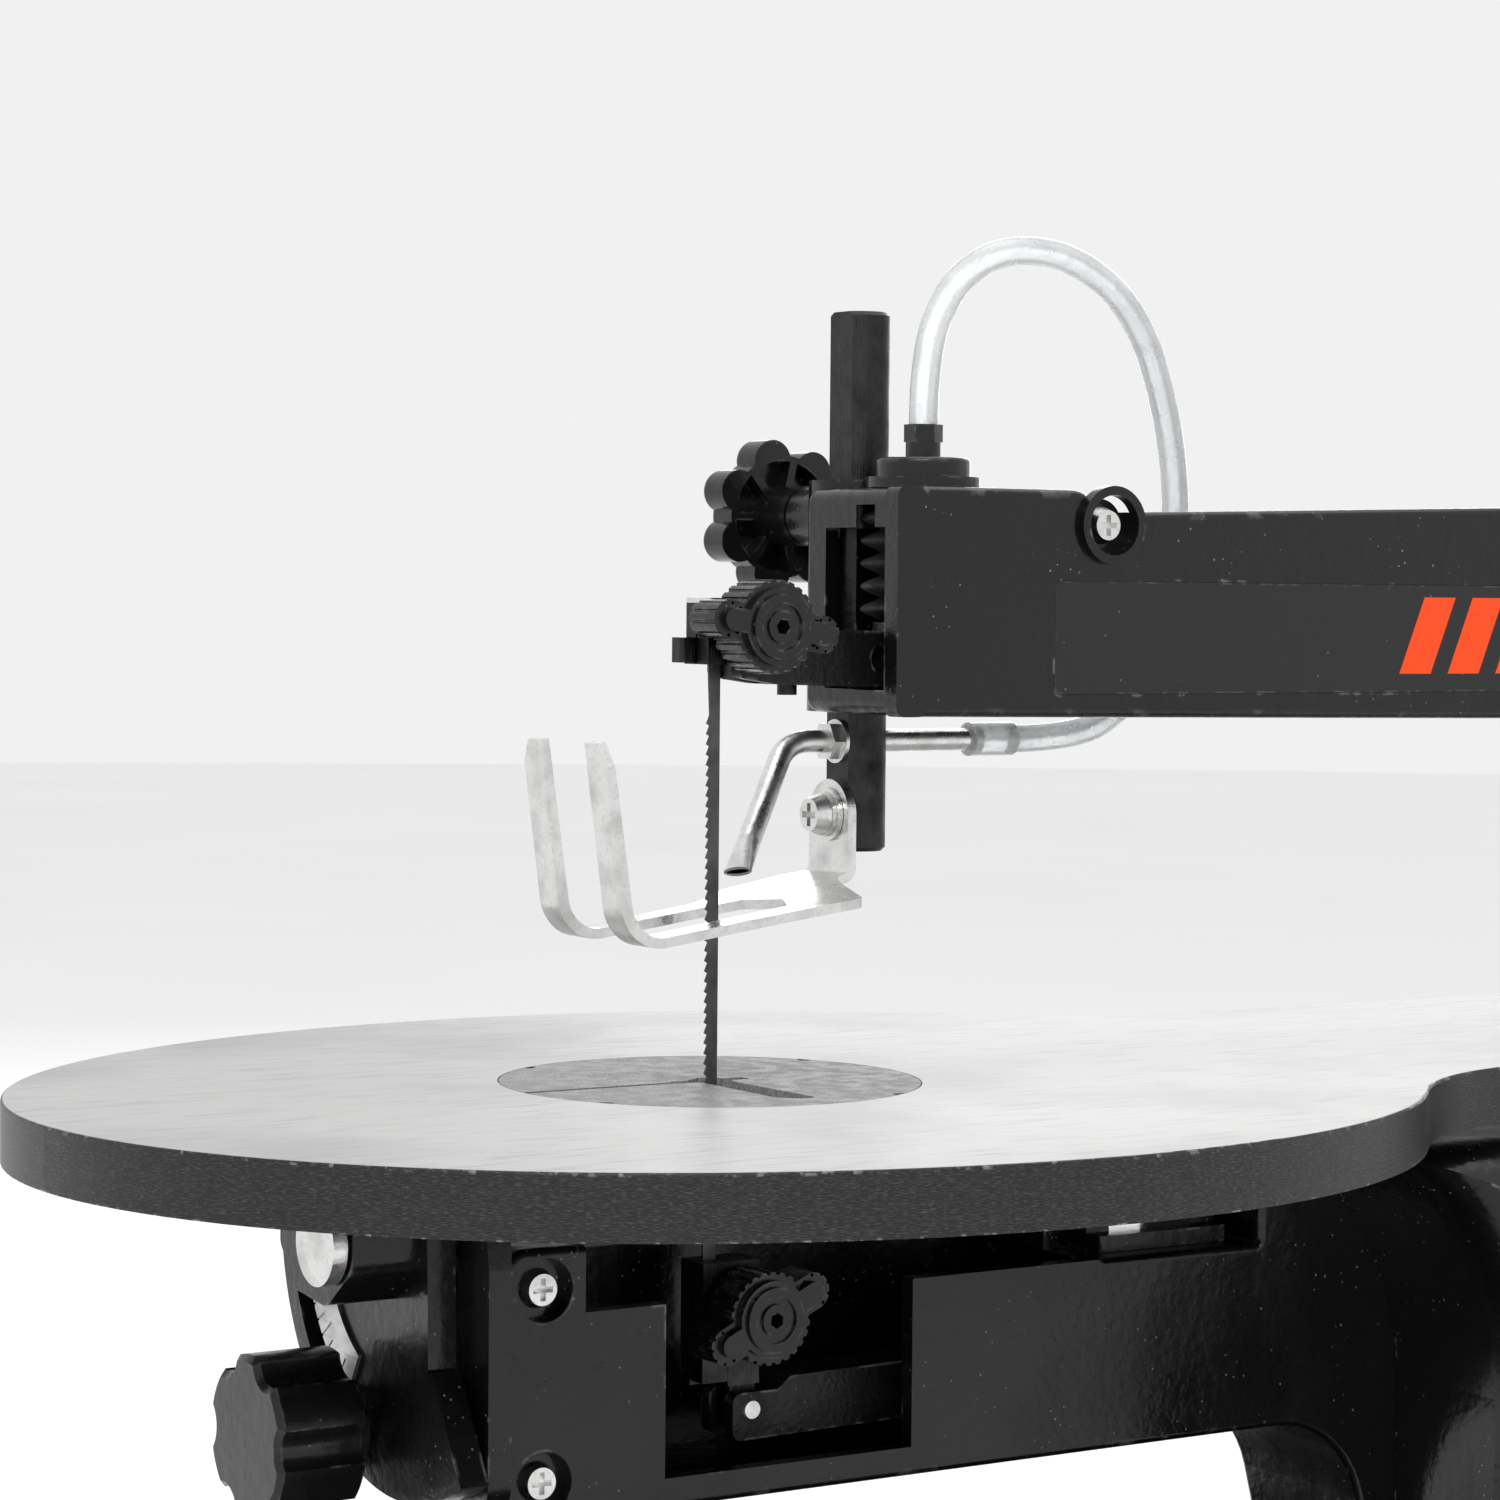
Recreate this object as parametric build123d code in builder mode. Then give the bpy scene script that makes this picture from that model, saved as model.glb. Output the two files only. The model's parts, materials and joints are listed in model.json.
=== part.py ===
from build123d import *

import math
import os

# Benchtop scroll saw with a parallel-arm linkage, a tilting keyhole table and an air blower.
#
# Millimetres, +Z up, +X to the operator's right, the operator stands at -Y. The origin is the
# centre of the four base bolt holes, on the bench. Most pieces are drawn on three planes through
# the blade point, where the blade's line crosses the top of the level table:
# side holds (y, z) and faces +X, front holds (x, z) and faces -Y, deck holds (x, y) and faces +Z.

os.makedirs("parts", exist_ok=True)

# ---- driving dimensions ---------------------------------------------------------------------
table_height = 195.0  # bench to table top
throat = 406.0  # blade to the front of the column
column_depth = 94.0
base_front = 60.0  # base ahead of the blade
base_length = throat + column_depth + base_front
blade_to_bolts = base_length / 2 - base_front  # blade line to the centre of the base bolts
bolt_inset = 40.0  # base bolts to the ends of the base
arm_half_width = 20.0  # frame halves meet on X = 0
shell = 3.5  # casting wall
running = 0.05  # radial clearance of a pin that turns
loose = 0.1  # radial clearance of a pin that turns and shifts a little
gap = 0.3  # air between neighbours that move past each other

# base
base_width = 240.0
base_height = 26.0
base_wall = 6.0
foot_height = 6.0
bolt_span_x = 200.0
bolt_span_y = base_length - 2 * bolt_inset
bolt_hole_r = 4.5

# table
table_half_width = 127.0
table_front = 142.0  # blade to the front edge
table_widest = 10.0  # blade to the widest line
table_back = 268.0
table_rim = 12.0
table_skin = 6.0
neck_half_width = 58.0
neck_start = 170.0
insert_r = 42.2
insert_thickness = 2.5
tilt_drop = 26.0  # tilt axis below the table top

# moving arms
stroke = 14.0
pivot_setback = 24.0  # front of the column to the arm pivots
holder_pin_y = 7.0
arm_length = throat + pivot_setback - holder_pin_y  # pivot to blade holder pin
upper_pin_z = 83.5
lower_pin_z = -66.0
tail_length = 45.0
link_half_width = 6.0  # half the thickness of a moving arm
pivot_r = 5.0
pin_r = 1.8
blade_width = 3.0
blade_thickness = 0.5
blade_pin_span = 127.0
blade_top = 85.0  # upper blade pin above the table top

# drive
crank_y = 215.0
yoke_length = 36.0
bearing_r = 9.5
crank_pin_r = 6.0
motor_r = 46.0
shaft_r = 5.0

# arm head
head_front = 34.9
head_back = 77.0
head_top = 119.1
head_bottom = 72.9
rod_x = -21.0
rod_y = 48.7
rod_r = 6.25
rod_bottom = 43.6
rod_top = 156.3
rod_flat = 4.7  # axis to flat
knob_z = 114.0
bellows_x = 2.0
bellows_y = 49.0
bellows_r = 13.5
tube_z = 66.6
tube_r = 2.4
foot_screw_z = 51.3
foot_thickness = 2.0
hose_r = 3.0

# ---- worked out -----------------------------------------------------------------------------
side = Plane(origin=(0, -blade_to_bolts, table_height), x_dir=(0, 1, 0), z_dir=(1, 0, 0))
front = Plane(origin=(0, -blade_to_bolts, table_height), x_dir=(1, 0, 0), z_dir=(0, -1, 0))
deck = Plane(origin=(0, -blade_to_bolts, table_height), x_dir=(1, 0, 0), z_dir=(0, 0, 1))
pivot_y = holder_pin_y + arm_length
upper_pivot_z = upper_pin_z + stroke / 2
lower_pivot_z = lower_pin_z + stroke / 2
rise = stroke / 2 / arm_length  # slope of an arm at the bottom of its stroke
yoke_pin_z = lower_pivot_z - (pivot_y - crank_y) * rise
throw = (pivot_y - crank_y) * rise
crank_z = yoke_pin_z - yoke_length + throw
tail_y = pivot_y + tail_length
column_back = throat + column_depth
wall_x = arm_half_width - shell
base_top = -table_height + foot_height + base_height
housing_top = -27.0
housing_bottom = -80.0
housing_front = -57.0


def keep(piece, name):
    """Label one finished sub-part and write it to its STEP file."""
    piece.part.label = name
    export_step(piece.part, f"parts/{name}.step")


def outline(plane, corners):
    """Closed outline on a plane from corners (u, v, radius)."""
    with BuildSketch(plane) as drawn:
        with BuildLine():
            points = [(u, v) for u, v, r in corners]
            FilletPolyline(*points, radius=[r for u, v, r in corners], close=True)
        make_face()
    return drawn.sketch


def disc(plane, u, v, start, length, radius, hole=0.0, mode=Mode.ADD):
    """Cylinder or ring standing on a plane, from start to start + length along its normal."""
    with BuildSketch(plane.offset(start)) as drawn:
        with Locations((u, v)):
            Circle(radius)
            if hole:
                Circle(hole, mode=Mode.SUBTRACT)
    extrude(drawn.sketch, amount=length, mode=mode)


def block(plane, u0, u1, v0, v1, start, length, radius=0.0, mode=Mode.ADD):
    """Box on a plane with its four upright edges rounded."""
    with BuildSketch(plane.offset(start)) as drawn:
        with Locations(((u0 + u1) / 2, (v0 + v1) / 2)):
            if radius:
                RectangleRounded(u1 - u0, v1 - v0, radius)
            else:
                Rectangle(u1 - u0, v1 - v0)
    extrude(drawn.sketch, amount=length, mode=mode)


def solid(plane, corners, start, length, mode=Mode.ADD):
    """Outline on a plane, extruded from start to start + length along its normal."""
    extrude(outline(plane.offset(start), corners), amount=length, mode=mode)


def pan_screw(plane, u, v, face, length, radius, head_r, head_h):
    """Cross-recessed pan-head screw: shank below the face, head above it."""
    disc(plane, u, v, face - length, length, radius)
    with BuildSketch(plane.offset(face)) as head:
        with Locations((u, v)):
            Circle(head_r)
    extrude(head.sketch, amount=head_h, taper=18)
    with BuildSketch(plane.offset(face + head_h)) as cross:
        with Locations((u, v)):
            Rectangle(head_r * 1.1, head_r * 0.3)
            Rectangle(head_r * 0.3, head_r * 1.1)
    extrude(cross.sketch, amount=-head_h * 0.6, mode=Mode.SUBTRACT)


def edges_at(axis, where):
    """Edges of the part being built that lie in one plane across an axis."""
    found = BuildPart._get_context().edges()
    return found.filter_by_position(axis, where - 0.01, where + 0.01)


# ---- base -----------------------------------------------------------------------------------
bolt_points = [
    (x, y) for x in (-bolt_span_x / 2, bolt_span_x / 2) for y in (-bolt_span_y / 2, bolt_span_y / 2)
]
pedestal_front = 200.0
flange_x = 45.0
flange_thickness = 8.0
flange_bolts = [(x, y) for x in (-34.0, 34.0) for y in (pedestal_front + 20, column_back - 20)]

inlet_x = -60.0
inlet_r = 6.0
rear = Plane(origin=(inlet_x, base_length / 2, foot_height + 11), x_dir=(-1, 0, 0), z_dir=(0, 1, 0))
with BuildPart() as base:
    with BuildSketch(Plane.XY.offset(foot_height)):
        RectangleRounded(base_width, base_length, 32)
    extrude(amount=base_height, taper=5)
    fillet(base.faces().sort_by(Axis.Z)[-1].edges(), 4)
    with BuildSketch(Plane.XY.offset(foot_height)):
        RectangleRounded(base_width - 2 * base_wall, base_length - 2 * base_wall, 26)
    extrude(amount=base_height - base_wall, taper=5, mode=Mode.SUBTRACT)
    for x, y in bolt_points:
        disc(Plane.XY, x, y, foot_height, base_height - 1, 12)
    for x, y in bolt_points:
        disc(Plane.XY, x, y, 0, foot_height + base_height + 1, bolt_hole_r, mode=Mode.SUBTRACT)
    for x, y in flange_bolts:
        disc(deck, x, y, base_top - base_wall - 1, base_wall + 2, 4.0, mode=Mode.SUBTRACT)
    disc(rear, 0, 0, -20, 30, inlet_r, mode=Mode.SUBTRACT)
keep(base, "base")

with BuildPart() as rubber_feet:
    for x, y in bolt_points:
        disc(Plane.XY, x, y, 0, foot_height, 15, hole=bolt_hole_r)
keep(rubber_feet, "rubber_feet")

# ---- frame: two cast halves that meet on X = 0 ----------------------------------------------
beam_front_z = 115.1
beam_slope = math.tan(math.radians(1.65))
beam_back_z = beam_front_z + (column_back - 106) * beam_slope
underside_back_z = 71.2 - (throat - 194) * 0.0085
notch = (84.0, 126.0, -40.0)  # pocket for the rear tilt bracket
screw_inset = 8.0  # screw centre to the outer face of the lower housing
frame_screw_points = [
    (83.6, 112.0),
    (250.0, 111.0),
    (throat - 21, 112.0),
    (column_back - 13, 60.0),
    (throat + 13, 20.0),
    (column_back - 13, 0.0),
    (330.0, housing_top - screw_inset),
    (housing_front + screw_inset, housing_top - screw_inset),
    (housing_front + screw_inset, housing_bottom + screw_inset),
    (240.0, -143.0),
    (360.0, -143.0),
    (column_back - 13, -143.0),
]
frame_corners = [
    (head_front, head_bottom, 3),
    (head_front, head_top, 3),
    (head_back, head_top, 6),
    (head_back + 5, beam_front_z - 0.5, 3),
    (column_back, beam_back_z, 26),
    (column_back, base_top, 0),
    (pedestal_front, base_top, 0),
    (pedestal_front - 36, base_top + 30, 20),
    (150, housing_bottom, 24),
    (housing_front, housing_bottom, 8),
    (housing_front, housing_top, 4),
    (notch[0], housing_top, 0),
    (notch[0], notch[2], 1),
    (notch[1], notch[2], 1),
    (notch[1], housing_top, 0),
    (throat, housing_top, 20),
    (throat, underside_back_z, 34),
    (194, 71.2, 0),
]
rod_boss_r = 10.5
pin_boss_r = 11.0
boss_r = 5.5
pivots = [(pivot_y, upper_pivot_z), (pivot_y, lower_pivot_z)]
label_y = (69.7, throat - 21)
label_z = (77.1, 100.6)
label_depth = 0.8


def frame_half(hand):
    """Half of the C-shaped frame, hand = 1 for the right and -1 for the left."""
    extrude(outline(side, frame_corners), amount=hand * arm_half_width)
    fillet(edges_at(Axis.X, hand * arm_half_width), 1.6)
    with BuildSketch(side) as cavity:
        add(outline(Plane.XY, frame_corners))
        offset(amount=-shell, kind=Kind.INTERSECTION)
    extrude(cavity.sketch, amount=hand * wall_x, mode=Mode.SUBTRACT)
    # screw bosses, pivot bosses and the flange that bolts down on the base
    for y, z in frame_screw_points:
        disc(side, y, z, 0, hand * wall_x, boss_r)
    for y, z in pivots:
        disc(
            side,
            y,
            z,
            hand * (link_half_width + 0.5),
            hand * (wall_x - link_half_width - 0.5),
            pin_boss_r,
        )
    block(deck, 0, hand * flange_x, pedestal_front, column_back, base_top, flange_thickness)
    # front of the lower housing: top opening for the blade holder
    block(deck, 0, hand * 13, -24, 34, housing_top - 6, 8, mode=Mode.SUBTRACT)
    # window in the front of the head
    block(front, 0, hand * window_x, window_z[0], window_z[1], -head_front - 8, 12, mode=Mode.SUBTRACT)
    # room for the bellows behind the front wall
    room = head_top - shell - head_bottom - 5
    disc(deck, bellows_x, bellows_y, head_bottom + 5, room, bellows_r + 1, mode=Mode.SUBTRACT)
    # recess for the panel
    block(side, *label_y, *label_z, hand * (arm_half_width - label_depth), hand * 5, 1.5, Mode.SUBTRACT)
    # round holes: bellows neck, tension sleeve and pivot pins
    disc(deck, bellows_x, bellows_y, head_top - 8, 12, cap_neck_r + gap, mode=Mode.SUBTRACT)
    disc(deck, 0, tail_y, beam_back_z - 12, 20, sleeve_r + 1.5, mode=Mode.SUBTRACT)
    for y, z in pivots:
        disc(side, y, z, 0, hand * (arm_half_width + 1), pivot_r, mode=Mode.SUBTRACT)
    for x, y in flange_bolts:
        disc(deck, x, y, base_top - 1, flange_thickness + 2, 4.0, mode=Mode.SUBTRACT)


window_x = 12.5
window_z = (78.0, 111.0)
cap_neck_r = 9.7
sleeve_r = 6.0
screw_r = 2.0
screw_head = (3.9, 2.6)
counterbore_r = 6.2
counterbore_depth = 3.2
bearing_seat_r = 13.0
dust_y = 350.0
dust_z = -100.0
dust_r = 17.5
knob_stud_r = 3.0
ledge_top = -40.0

with BuildPart() as frame_right:
    frame_half(1)
    # rolled bead along the front edge of the right half
    block(side, head_front - 4.4, head_front + 3, head_bottom, head_top, wall_x - 1, 4.5, 2.0)
    # open side of the lower housing: a low ledge, and a deeper bay beside the blade holder
    block(side, -40, 118, ledge_top, 0, 4, 20, mode=Mode.SUBTRACT)
    block(side, -22, 36, -74, 0, 4, 20, mode=Mode.SUBTRACT)
    # raised C-shaped lips round the cover screws
    for y, z in frame_screw_points[:1]:
        disc(side, y, z, arm_half_width - 1, 2.6, counterbore_r + 1.9)
    for y, z in frame_screw_points:
        disc(side, y, z, arm_half_width - counterbore_depth, 8, counterbore_r, mode=Mode.SUBTRACT)
        disc(side, y, z, -1, arm_half_width + 2, screw_r, mode=Mode.SUBTRACT)
    disc(side, crank_y, crank_z, wall_x - 1, 6, bearing_seat_r, mode=Mode.SUBTRACT)
keep(frame_right, "frame_right")

with BuildPart() as frame_left:
    frame_half(-1)
    # boss that carries the hold-down rod, and the neck for its lock screw
    disc(deck, rod_x, rod_y, head_bottom, head_top + 2 - head_bottom, rod_boss_r)
    disc(side, rod_y, knob_z, -39, 14, 6.5)
    block(front, -window_x, 0, window_z[0], window_z[1], -head_back + 10, 45, mode=Mode.SUBTRACT)
    disc(deck, rod_x, rod_y, head_bottom - 1, 60, rod_r + running, mode=Mode.SUBTRACT)
    disc(side, rod_y, knob_z, -40, 16, knob_stud_r, mode=Mode.SUBTRACT)
    for y, z in frame_screw_points:
        disc(side, y, z, -wall_x, wall_x + 1, screw_r, mode=Mode.SUBTRACT)
    disc(side, dust_y, dust_z, -arm_half_width - 1, 8, dust_r - 2.5, mode=Mode.SUBTRACT)
keep(frame_left, "frame_left")

cover_y = (190.0, 300.0)
cover_z = (-140.0, -62.0)
cover_screw_points = [
    (y, z) for y in (cover_y[0] + 9, cover_y[1] - 9) for z in (cover_z[0] + 9, cover_z[1] - 9)
]
left_side = Plane(origin=side.origin, x_dir=(0, -1, 0), z_dir=(-1, 0, 0))
with BuildPart() as pan_screws:
    for y, z in frame_screw_points:
        face = arm_half_width - counterbore_depth
        pan_screw(side, y, z, face, face + wall_x - 2, screw_r, *screw_head)
    for y, z in cover_screw_points:
        pan_screw(left_side, -y, z, arm_half_width + 3.0, 2.9, 1.6, 3.2, 2.0)
keep(pan_screws, "pan_screws")

with BuildPart() as flange_screws:
    for x, y in flange_bolts:
        disc(deck, x, y, base_top - base_wall - 4, flange_thickness + base_wall + 4, 4.0)
        with BuildSketch(deck.offset(base_top + flange_thickness)) as hexagon:
            with Locations((x, y)):
                RegularPolygon(6.5, 6, major_radius=False)
        extrude(hexagon.sketch, amount=5.3)
keep(flange_screws, "flange_screws")

# plain panels in the recesses of the arm
panel_thickness = 0.6
with BuildPart() as arm_panels:
    for hand in (1, -1):
        start = hand * (arm_half_width - label_depth)
        block(
            side,
            label_y[0] + 0.2,
            label_y[1] - 0.2,
            label_z[0] + 0.2,
            label_z[1] - 0.2,
            start,
            hand * panel_thickness,
            1.3,
        )
keep(arm_panels, "arm_panels")


# ---- blade ----------------------------------------------------------------------------------
tooth_pitch = 2.06
tooth_depth = 0.7
holder_bottom = 83.2
blade_low = blade_top - blade_pin_span
blade_tip = 4.0
blade_blank = 12.0


def toothed_edge():
    """Outline of the blade, teeth on the front edge pointing down."""
    low = blade_low - blade_tip
    high = blade_top + blade_tip
    half = blade_width / 2
    points = [(half, low), (half, high), (-half, high)]
    count = int((blade_pin_span - 2 * blade_blank) / tooth_pitch)
    for tooth in range(count):
        z = blade_top - blade_blank - tooth * tooth_pitch
        points.append((-half + tooth_depth, z))
        points.append((-half, z - 0.8 * tooth_pitch))
    points.append((-half + tooth_depth, blade_top - blade_blank - count * tooth_pitch))
    points.append((-half, blade_top - blade_blank - count * tooth_pitch))
    points.append((-half, low))
    return points


with BuildPart() as blade:
    with BuildSketch(side.offset(-blade_thickness / 2)) as profile:
        with BuildLine():
            Polyline(*toothed_edge(), close=True)
        make_face()
    extrude(profile.sketch, amount=blade_thickness)
    for z in (blade_top, blade_low):
        disc(side, 0, z, -2, 4, 0.7)
keep(blade, "blade")

# ---- blade holders, which ride on pins in the noses of the two arms --------------------------
holder_x = 4.5
holder_front = -4.0
holder_back = 10.0
tongue_x = 2.6
jaw_gap = 0.05
screw_y = 5.0
clamp_screw_r = 2.5
pin_room = 2.3


def holder(top, bottom, pin_z, grip_z, screw_z):
    """Blade holder: block with a blade slot, and a tongue down to its pin."""
    block(deck, -holder_x, holder_x, holder_front, holder_back, bottom, top - bottom, 0.8)
    slot = blade_thickness / 2 + jaw_gap
    block(
        deck,
        -slot,
        holder_x + 1,
        holder_front - 1,
        2.0,
        bottom - 1,
        top - bottom + 2,
        mode=Mode.SUBTRACT,
    )
    block(deck, -pin_room, 0, -1.4, 1.4, grip_z - 1.4, 2.8, mode=Mode.SUBTRACT)
    disc(
        side,
        screw_y,
        screw_z,
        -holder_x - 1,
        2 * holder_x + 2,
        clamp_screw_r + running,
        mode=Mode.SUBTRACT,
    )
    block(deck, -tongue_x, tongue_x, 3.6, holder_back, pin_z - 3.4, bottom - pin_z + 3.9, 0.5)
    disc(side, holder_pin_y, pin_z, -tongue_x - 1, 2 * tongue_x + 2, pin_r + loose, mode=Mode.SUBTRACT)


with BuildPart() as upper_holder:
    holder(95.4, 87.2, upper_pin_z, blade_top, 90.8)
    block(deck, -holder_x, -0.35, holder_front, 1.9, holder_bottom, 4.2)
    block(deck, -pin_room, 0, -1.4, 1.4, blade_top - 1.4, 2.8, mode=Mode.SUBTRACT)
    block(deck, -holder_x, -0.35, -7.3, holder_front + 0.5, 83.5, 5, 0.8)
keep(upper_holder, "upper_holder")

with BuildPart() as lower_holder:
    holder(-36.0, -61.0, lower_pin_z, blade_low, -46.0)
keep(lower_holder, "lower_holder")

with BuildPart() as holder_plate:
    block(deck, -holder_x, holder_x, holder_front - 0.1, holder_back, 95.4, 1.0, 0.8)
keep(holder_plate, "holder_plate")


def clamp_plate(bottom, top, grip_z):
    """Loose jaw that the thumbscrew presses on the blade."""
    start = blade_thickness / 2 + jaw_gap
    block(side, holder_front, 1.9, bottom, top, start, holder_x - start)
    disc(side, 0, grip_z, 0, pin_room, 1.4, mode=Mode.SUBTRACT)


with BuildPart() as clamp_plates:
    clamp_plate(holder_bottom, 95.4, blade_top)
    clamp_plate(-60.0, -36.0, blade_low)
keep(clamp_plates, "clamp_plates")

wing_start = 6.3
wing_length = 11.5
hub_r = 7.7


def thumbscrew(y, z, tilt):
    """Wing thumbscrew on the right of a holder, its shank through the block."""
    disc(side, y, z, -3.5, wing_start + 3.5, clamp_screw_r)
    turned = math.radians(tilt)
    centre = side.offset(wing_start).from_local_coords((y, z, 0))
    plane = Plane(origin=centre, x_dir=(0, math.cos(turned), math.sin(turned)), z_dir=(1, 0, 0))
    with BuildSketch(plane) as wings:
        Circle(hub_r + 1.6)
        SlotCenterToCenter(22, 7.5)
        with PolarLocations(hub_r + 1.6, 26):
            Circle(0.55, mode=Mode.SUBTRACT)
        for end in (-11.5, 11.5):
            with Locations((end, 0)):
                with PolarLocations(3.2, 9):
                    Circle(0.35, mode=Mode.SUBTRACT)
    extrude(wings.sketch, amount=wing_length - 2.2)
    with BuildSketch(plane.offset(wing_length - 2.2)) as cap:
        Circle(hub_r)
        SlotCenterToCenter(21, 4.6)
    extrude(cap.sketch, amount=1.4)
    disc(plane, 0, 0, wing_length - 1.2, 1.2, hub_r - 1.2)
    disc(plane, 0, 0, wing_length - 0.6, 1, 4.6, hole=3.2, mode=Mode.SUBTRACT)
    with BuildSketch(plane.offset(wing_length)) as socket:
        RegularPolygon(1.6, 6)
    extrude(socket.sketch, amount=-5, mode=Mode.SUBTRACT)


with BuildPart() as upper_thumbscrew:
    thumbscrew(screw_y, 90.8, -8)
keep(upper_thumbscrew, "upper_thumbscrew")

with BuildPart() as lower_thumbscrew:
    thumbscrew(screw_y, -46.0, 25)
keep(lower_thumbscrew, "lower_thumbscrew")

# ---- moving arms ----------------------------------------------------------------------------
nose = 2.3
pivot_boss_r = 10.0
tail_slot = 4.2
bush_r = 7.5


def arm_line(y, pin_z):
    """Height of an arm's centre line at the bottom of the stroke."""
    return pin_z + (y - holder_pin_y) * rise


def arm_holes(pin_z):
    """Holes for the holder pin, the pivot bush and the tail pin, with a forked nose and tail."""
    tail_z = arm_line(tail_y, pin_z)
    block(deck, -tongue_x - 0.2, tongue_x + 0.2, nose - 1, 12.0, pin_z - 8, 16, mode=Mode.SUBTRACT)
    block(deck, -tail_slot, tail_slot, tail_y - 9, tail_y + 12, tail_z - 12, 24, mode=Mode.SUBTRACT)
    disc(
        side,
        holder_pin_y,
        pin_z,
        -link_half_width - 1,
        2 * link_half_width + 2,
        pin_r,
        mode=Mode.SUBTRACT,
    )
    disc(
        side,
        pivot_y,
        arm_line(pivot_y, pin_z),
        -link_half_width - 1,
        2 * link_half_width + 2,
        bush_r,
        mode=Mode.SUBTRACT,
    )
    disc(
        side,
        tail_y,
        tail_z,
        -link_half_width - 1,
        2 * link_half_width + 2,
        tail_pin_r,
        mode=Mode.SUBTRACT,
    )


def side_pockets(corners):
    """Shallow lightening pocket in both faces of an arm."""
    for hand in (1, -1):
        solid(side, corners, hand * (link_half_width - 2), hand * 4, mode=Mode.SUBTRACT)


tail_pin_r = 3.0
half = 5.2
upper_mid = arm_line(pivot_y, upper_pin_z)
upper_tail = arm_line(tail_y, upper_pin_z)
upper_arm_corners = [
    (nose, 80.6, 1.5),
    (nose, 86.6, 1.2),
    (12.4, 86.6, 0),
    (13.6, 90.0, 1),
    (62.0, 90.0, 6),
    (pivot_y - 14, upper_mid + half, 4),
    (pivot_y, upper_mid + pivot_boss_r, 9),
    (pivot_y + 14, upper_mid + half, 4),
    (tail_y + 6, upper_tail + half, 3),
    (tail_y + 6, upper_tail - half, 3),
    (pivot_y + 14, upper_mid - half, 4),
    (pivot_y, upper_mid - pivot_boss_r, 9),
    (pivot_y - 14, upper_mid - half, 4),
    (34.0, 78.6, 10),
    (12.0, 79.2, 3),
]
with BuildPart() as upper_arm:
    solid(side, upper_arm_corners, -link_half_width, 2 * link_half_width)
    upper_pocket = [
        (34.0, 81.6, 2.5),
        (34.0, 87.0, 2.5),
        (pivot_y - 18, upper_mid + 2.4, 2),
        (pivot_y - 18, upper_mid - 2.4, 2),
    ]
    side_pockets(upper_pocket)
    arm_holes(upper_pin_z)
    disc(deck, 0, 17.5, 76, 12, 2.0, mode=Mode.SUBTRACT)
    disc(deck, bellows_x, bellows_y, 89.0, 2.7, 10)
keep(upper_arm, "upper_arm")

lower_mid = arm_line(pivot_y, lower_pin_z)
lower_tail = arm_line(tail_y, lower_pin_z)
lower_half = 6.0
lower_arm_corners = [
    (nose, lower_pin_z - lower_half, 2),
    (nose, lower_pin_z + 3.6, 2),
    (13.0, lower_pin_z + 3.6, 0),
    (16.0, lower_pin_z + lower_half, 2),
    (pivot_y - 14, lower_mid + lower_half, 4),
    (pivot_y, lower_mid + pivot_boss_r, 9),
    (pivot_y + 14, lower_mid + lower_half, 4),
    (tail_y + 6, lower_tail + lower_half, 3),
    (tail_y + 6, lower_tail - lower_half, 3),
    (pivot_y + 14, lower_mid - lower_half, 4),
    (pivot_y, lower_mid - pivot_boss_r, 9),
    (pivot_y - 14, lower_mid - lower_half, 4),
]
yoke_tongue_x = 3.0
with BuildPart() as lower_arm:
    solid(side, lower_arm_corners, -link_half_width, 2 * link_half_width)
    lower_pocket = [
        (crank_y + 20, yoke_pin_z - 2.6, 2),
        (crank_y + 20, yoke_pin_z + 3.2, 2),
        (pivot_y - 18, lower_mid + 3.2, 2),
        (pivot_y - 18, lower_mid - 3.2, 2),
    ]
    side_pockets(lower_pocket)
    arm_holes(lower_pin_z)
    block(
        deck,
        -yoke_tongue_x - 0.25,
        yoke_tongue_x + 0.25,
        crank_y - 9,
        crank_y + 9,
        yoke_pin_z - 20,
        25,
        mode=Mode.SUBTRACT,
    )
    disc(
        side,
        crank_y,
        yoke_pin_z,
        -link_half_width - 1,
        2 * link_half_width + 2,
        tail_pin_r,
        mode=Mode.SUBTRACT,
    )
keep(lower_arm, "lower_arm")

with BuildPart() as pivot_pins:
    for y, z in pivots:
        disc(side, y, z, -arm_half_width + 1, 2 * arm_half_width - 2, pivot_r)
keep(pivot_pins, "pivot_pins")

for name, z in (("upper_pivot_bush", upper_pivot_z), ("lower_pivot_bush", lower_pivot_z)):
    with BuildPart() as bush:
        disc(side, pivot_y, z, -link_half_width, 2 * link_half_width, bush_r, hole=pivot_r + running)
    keep(bush, name)

with BuildPart() as upper_holder_pin:
    disc(side, holder_pin_y, upper_pin_z, -link_half_width, 2 * link_half_width, pin_r)
keep(upper_holder_pin, "upper_holder_pin")

with BuildPart() as lower_arm_pins:
    disc(side, holder_pin_y, lower_pin_z, -link_half_width, 2 * link_half_width, pin_r)
    disc(side, crank_y, yoke_pin_z, -link_half_width, 2 * link_half_width, tail_pin_r)
    disc(side, tail_y, lower_tail, -link_half_width, 2 * link_half_width, tail_pin_r)
keep(lower_arm_pins, "lower_arm_pins")

with BuildPart() as arm_set_screw:
    disc(deck, 0, 17.5, 77.0, 9.5, 2.0)
keep(arm_set_screw, "arm_set_screw")

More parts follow.
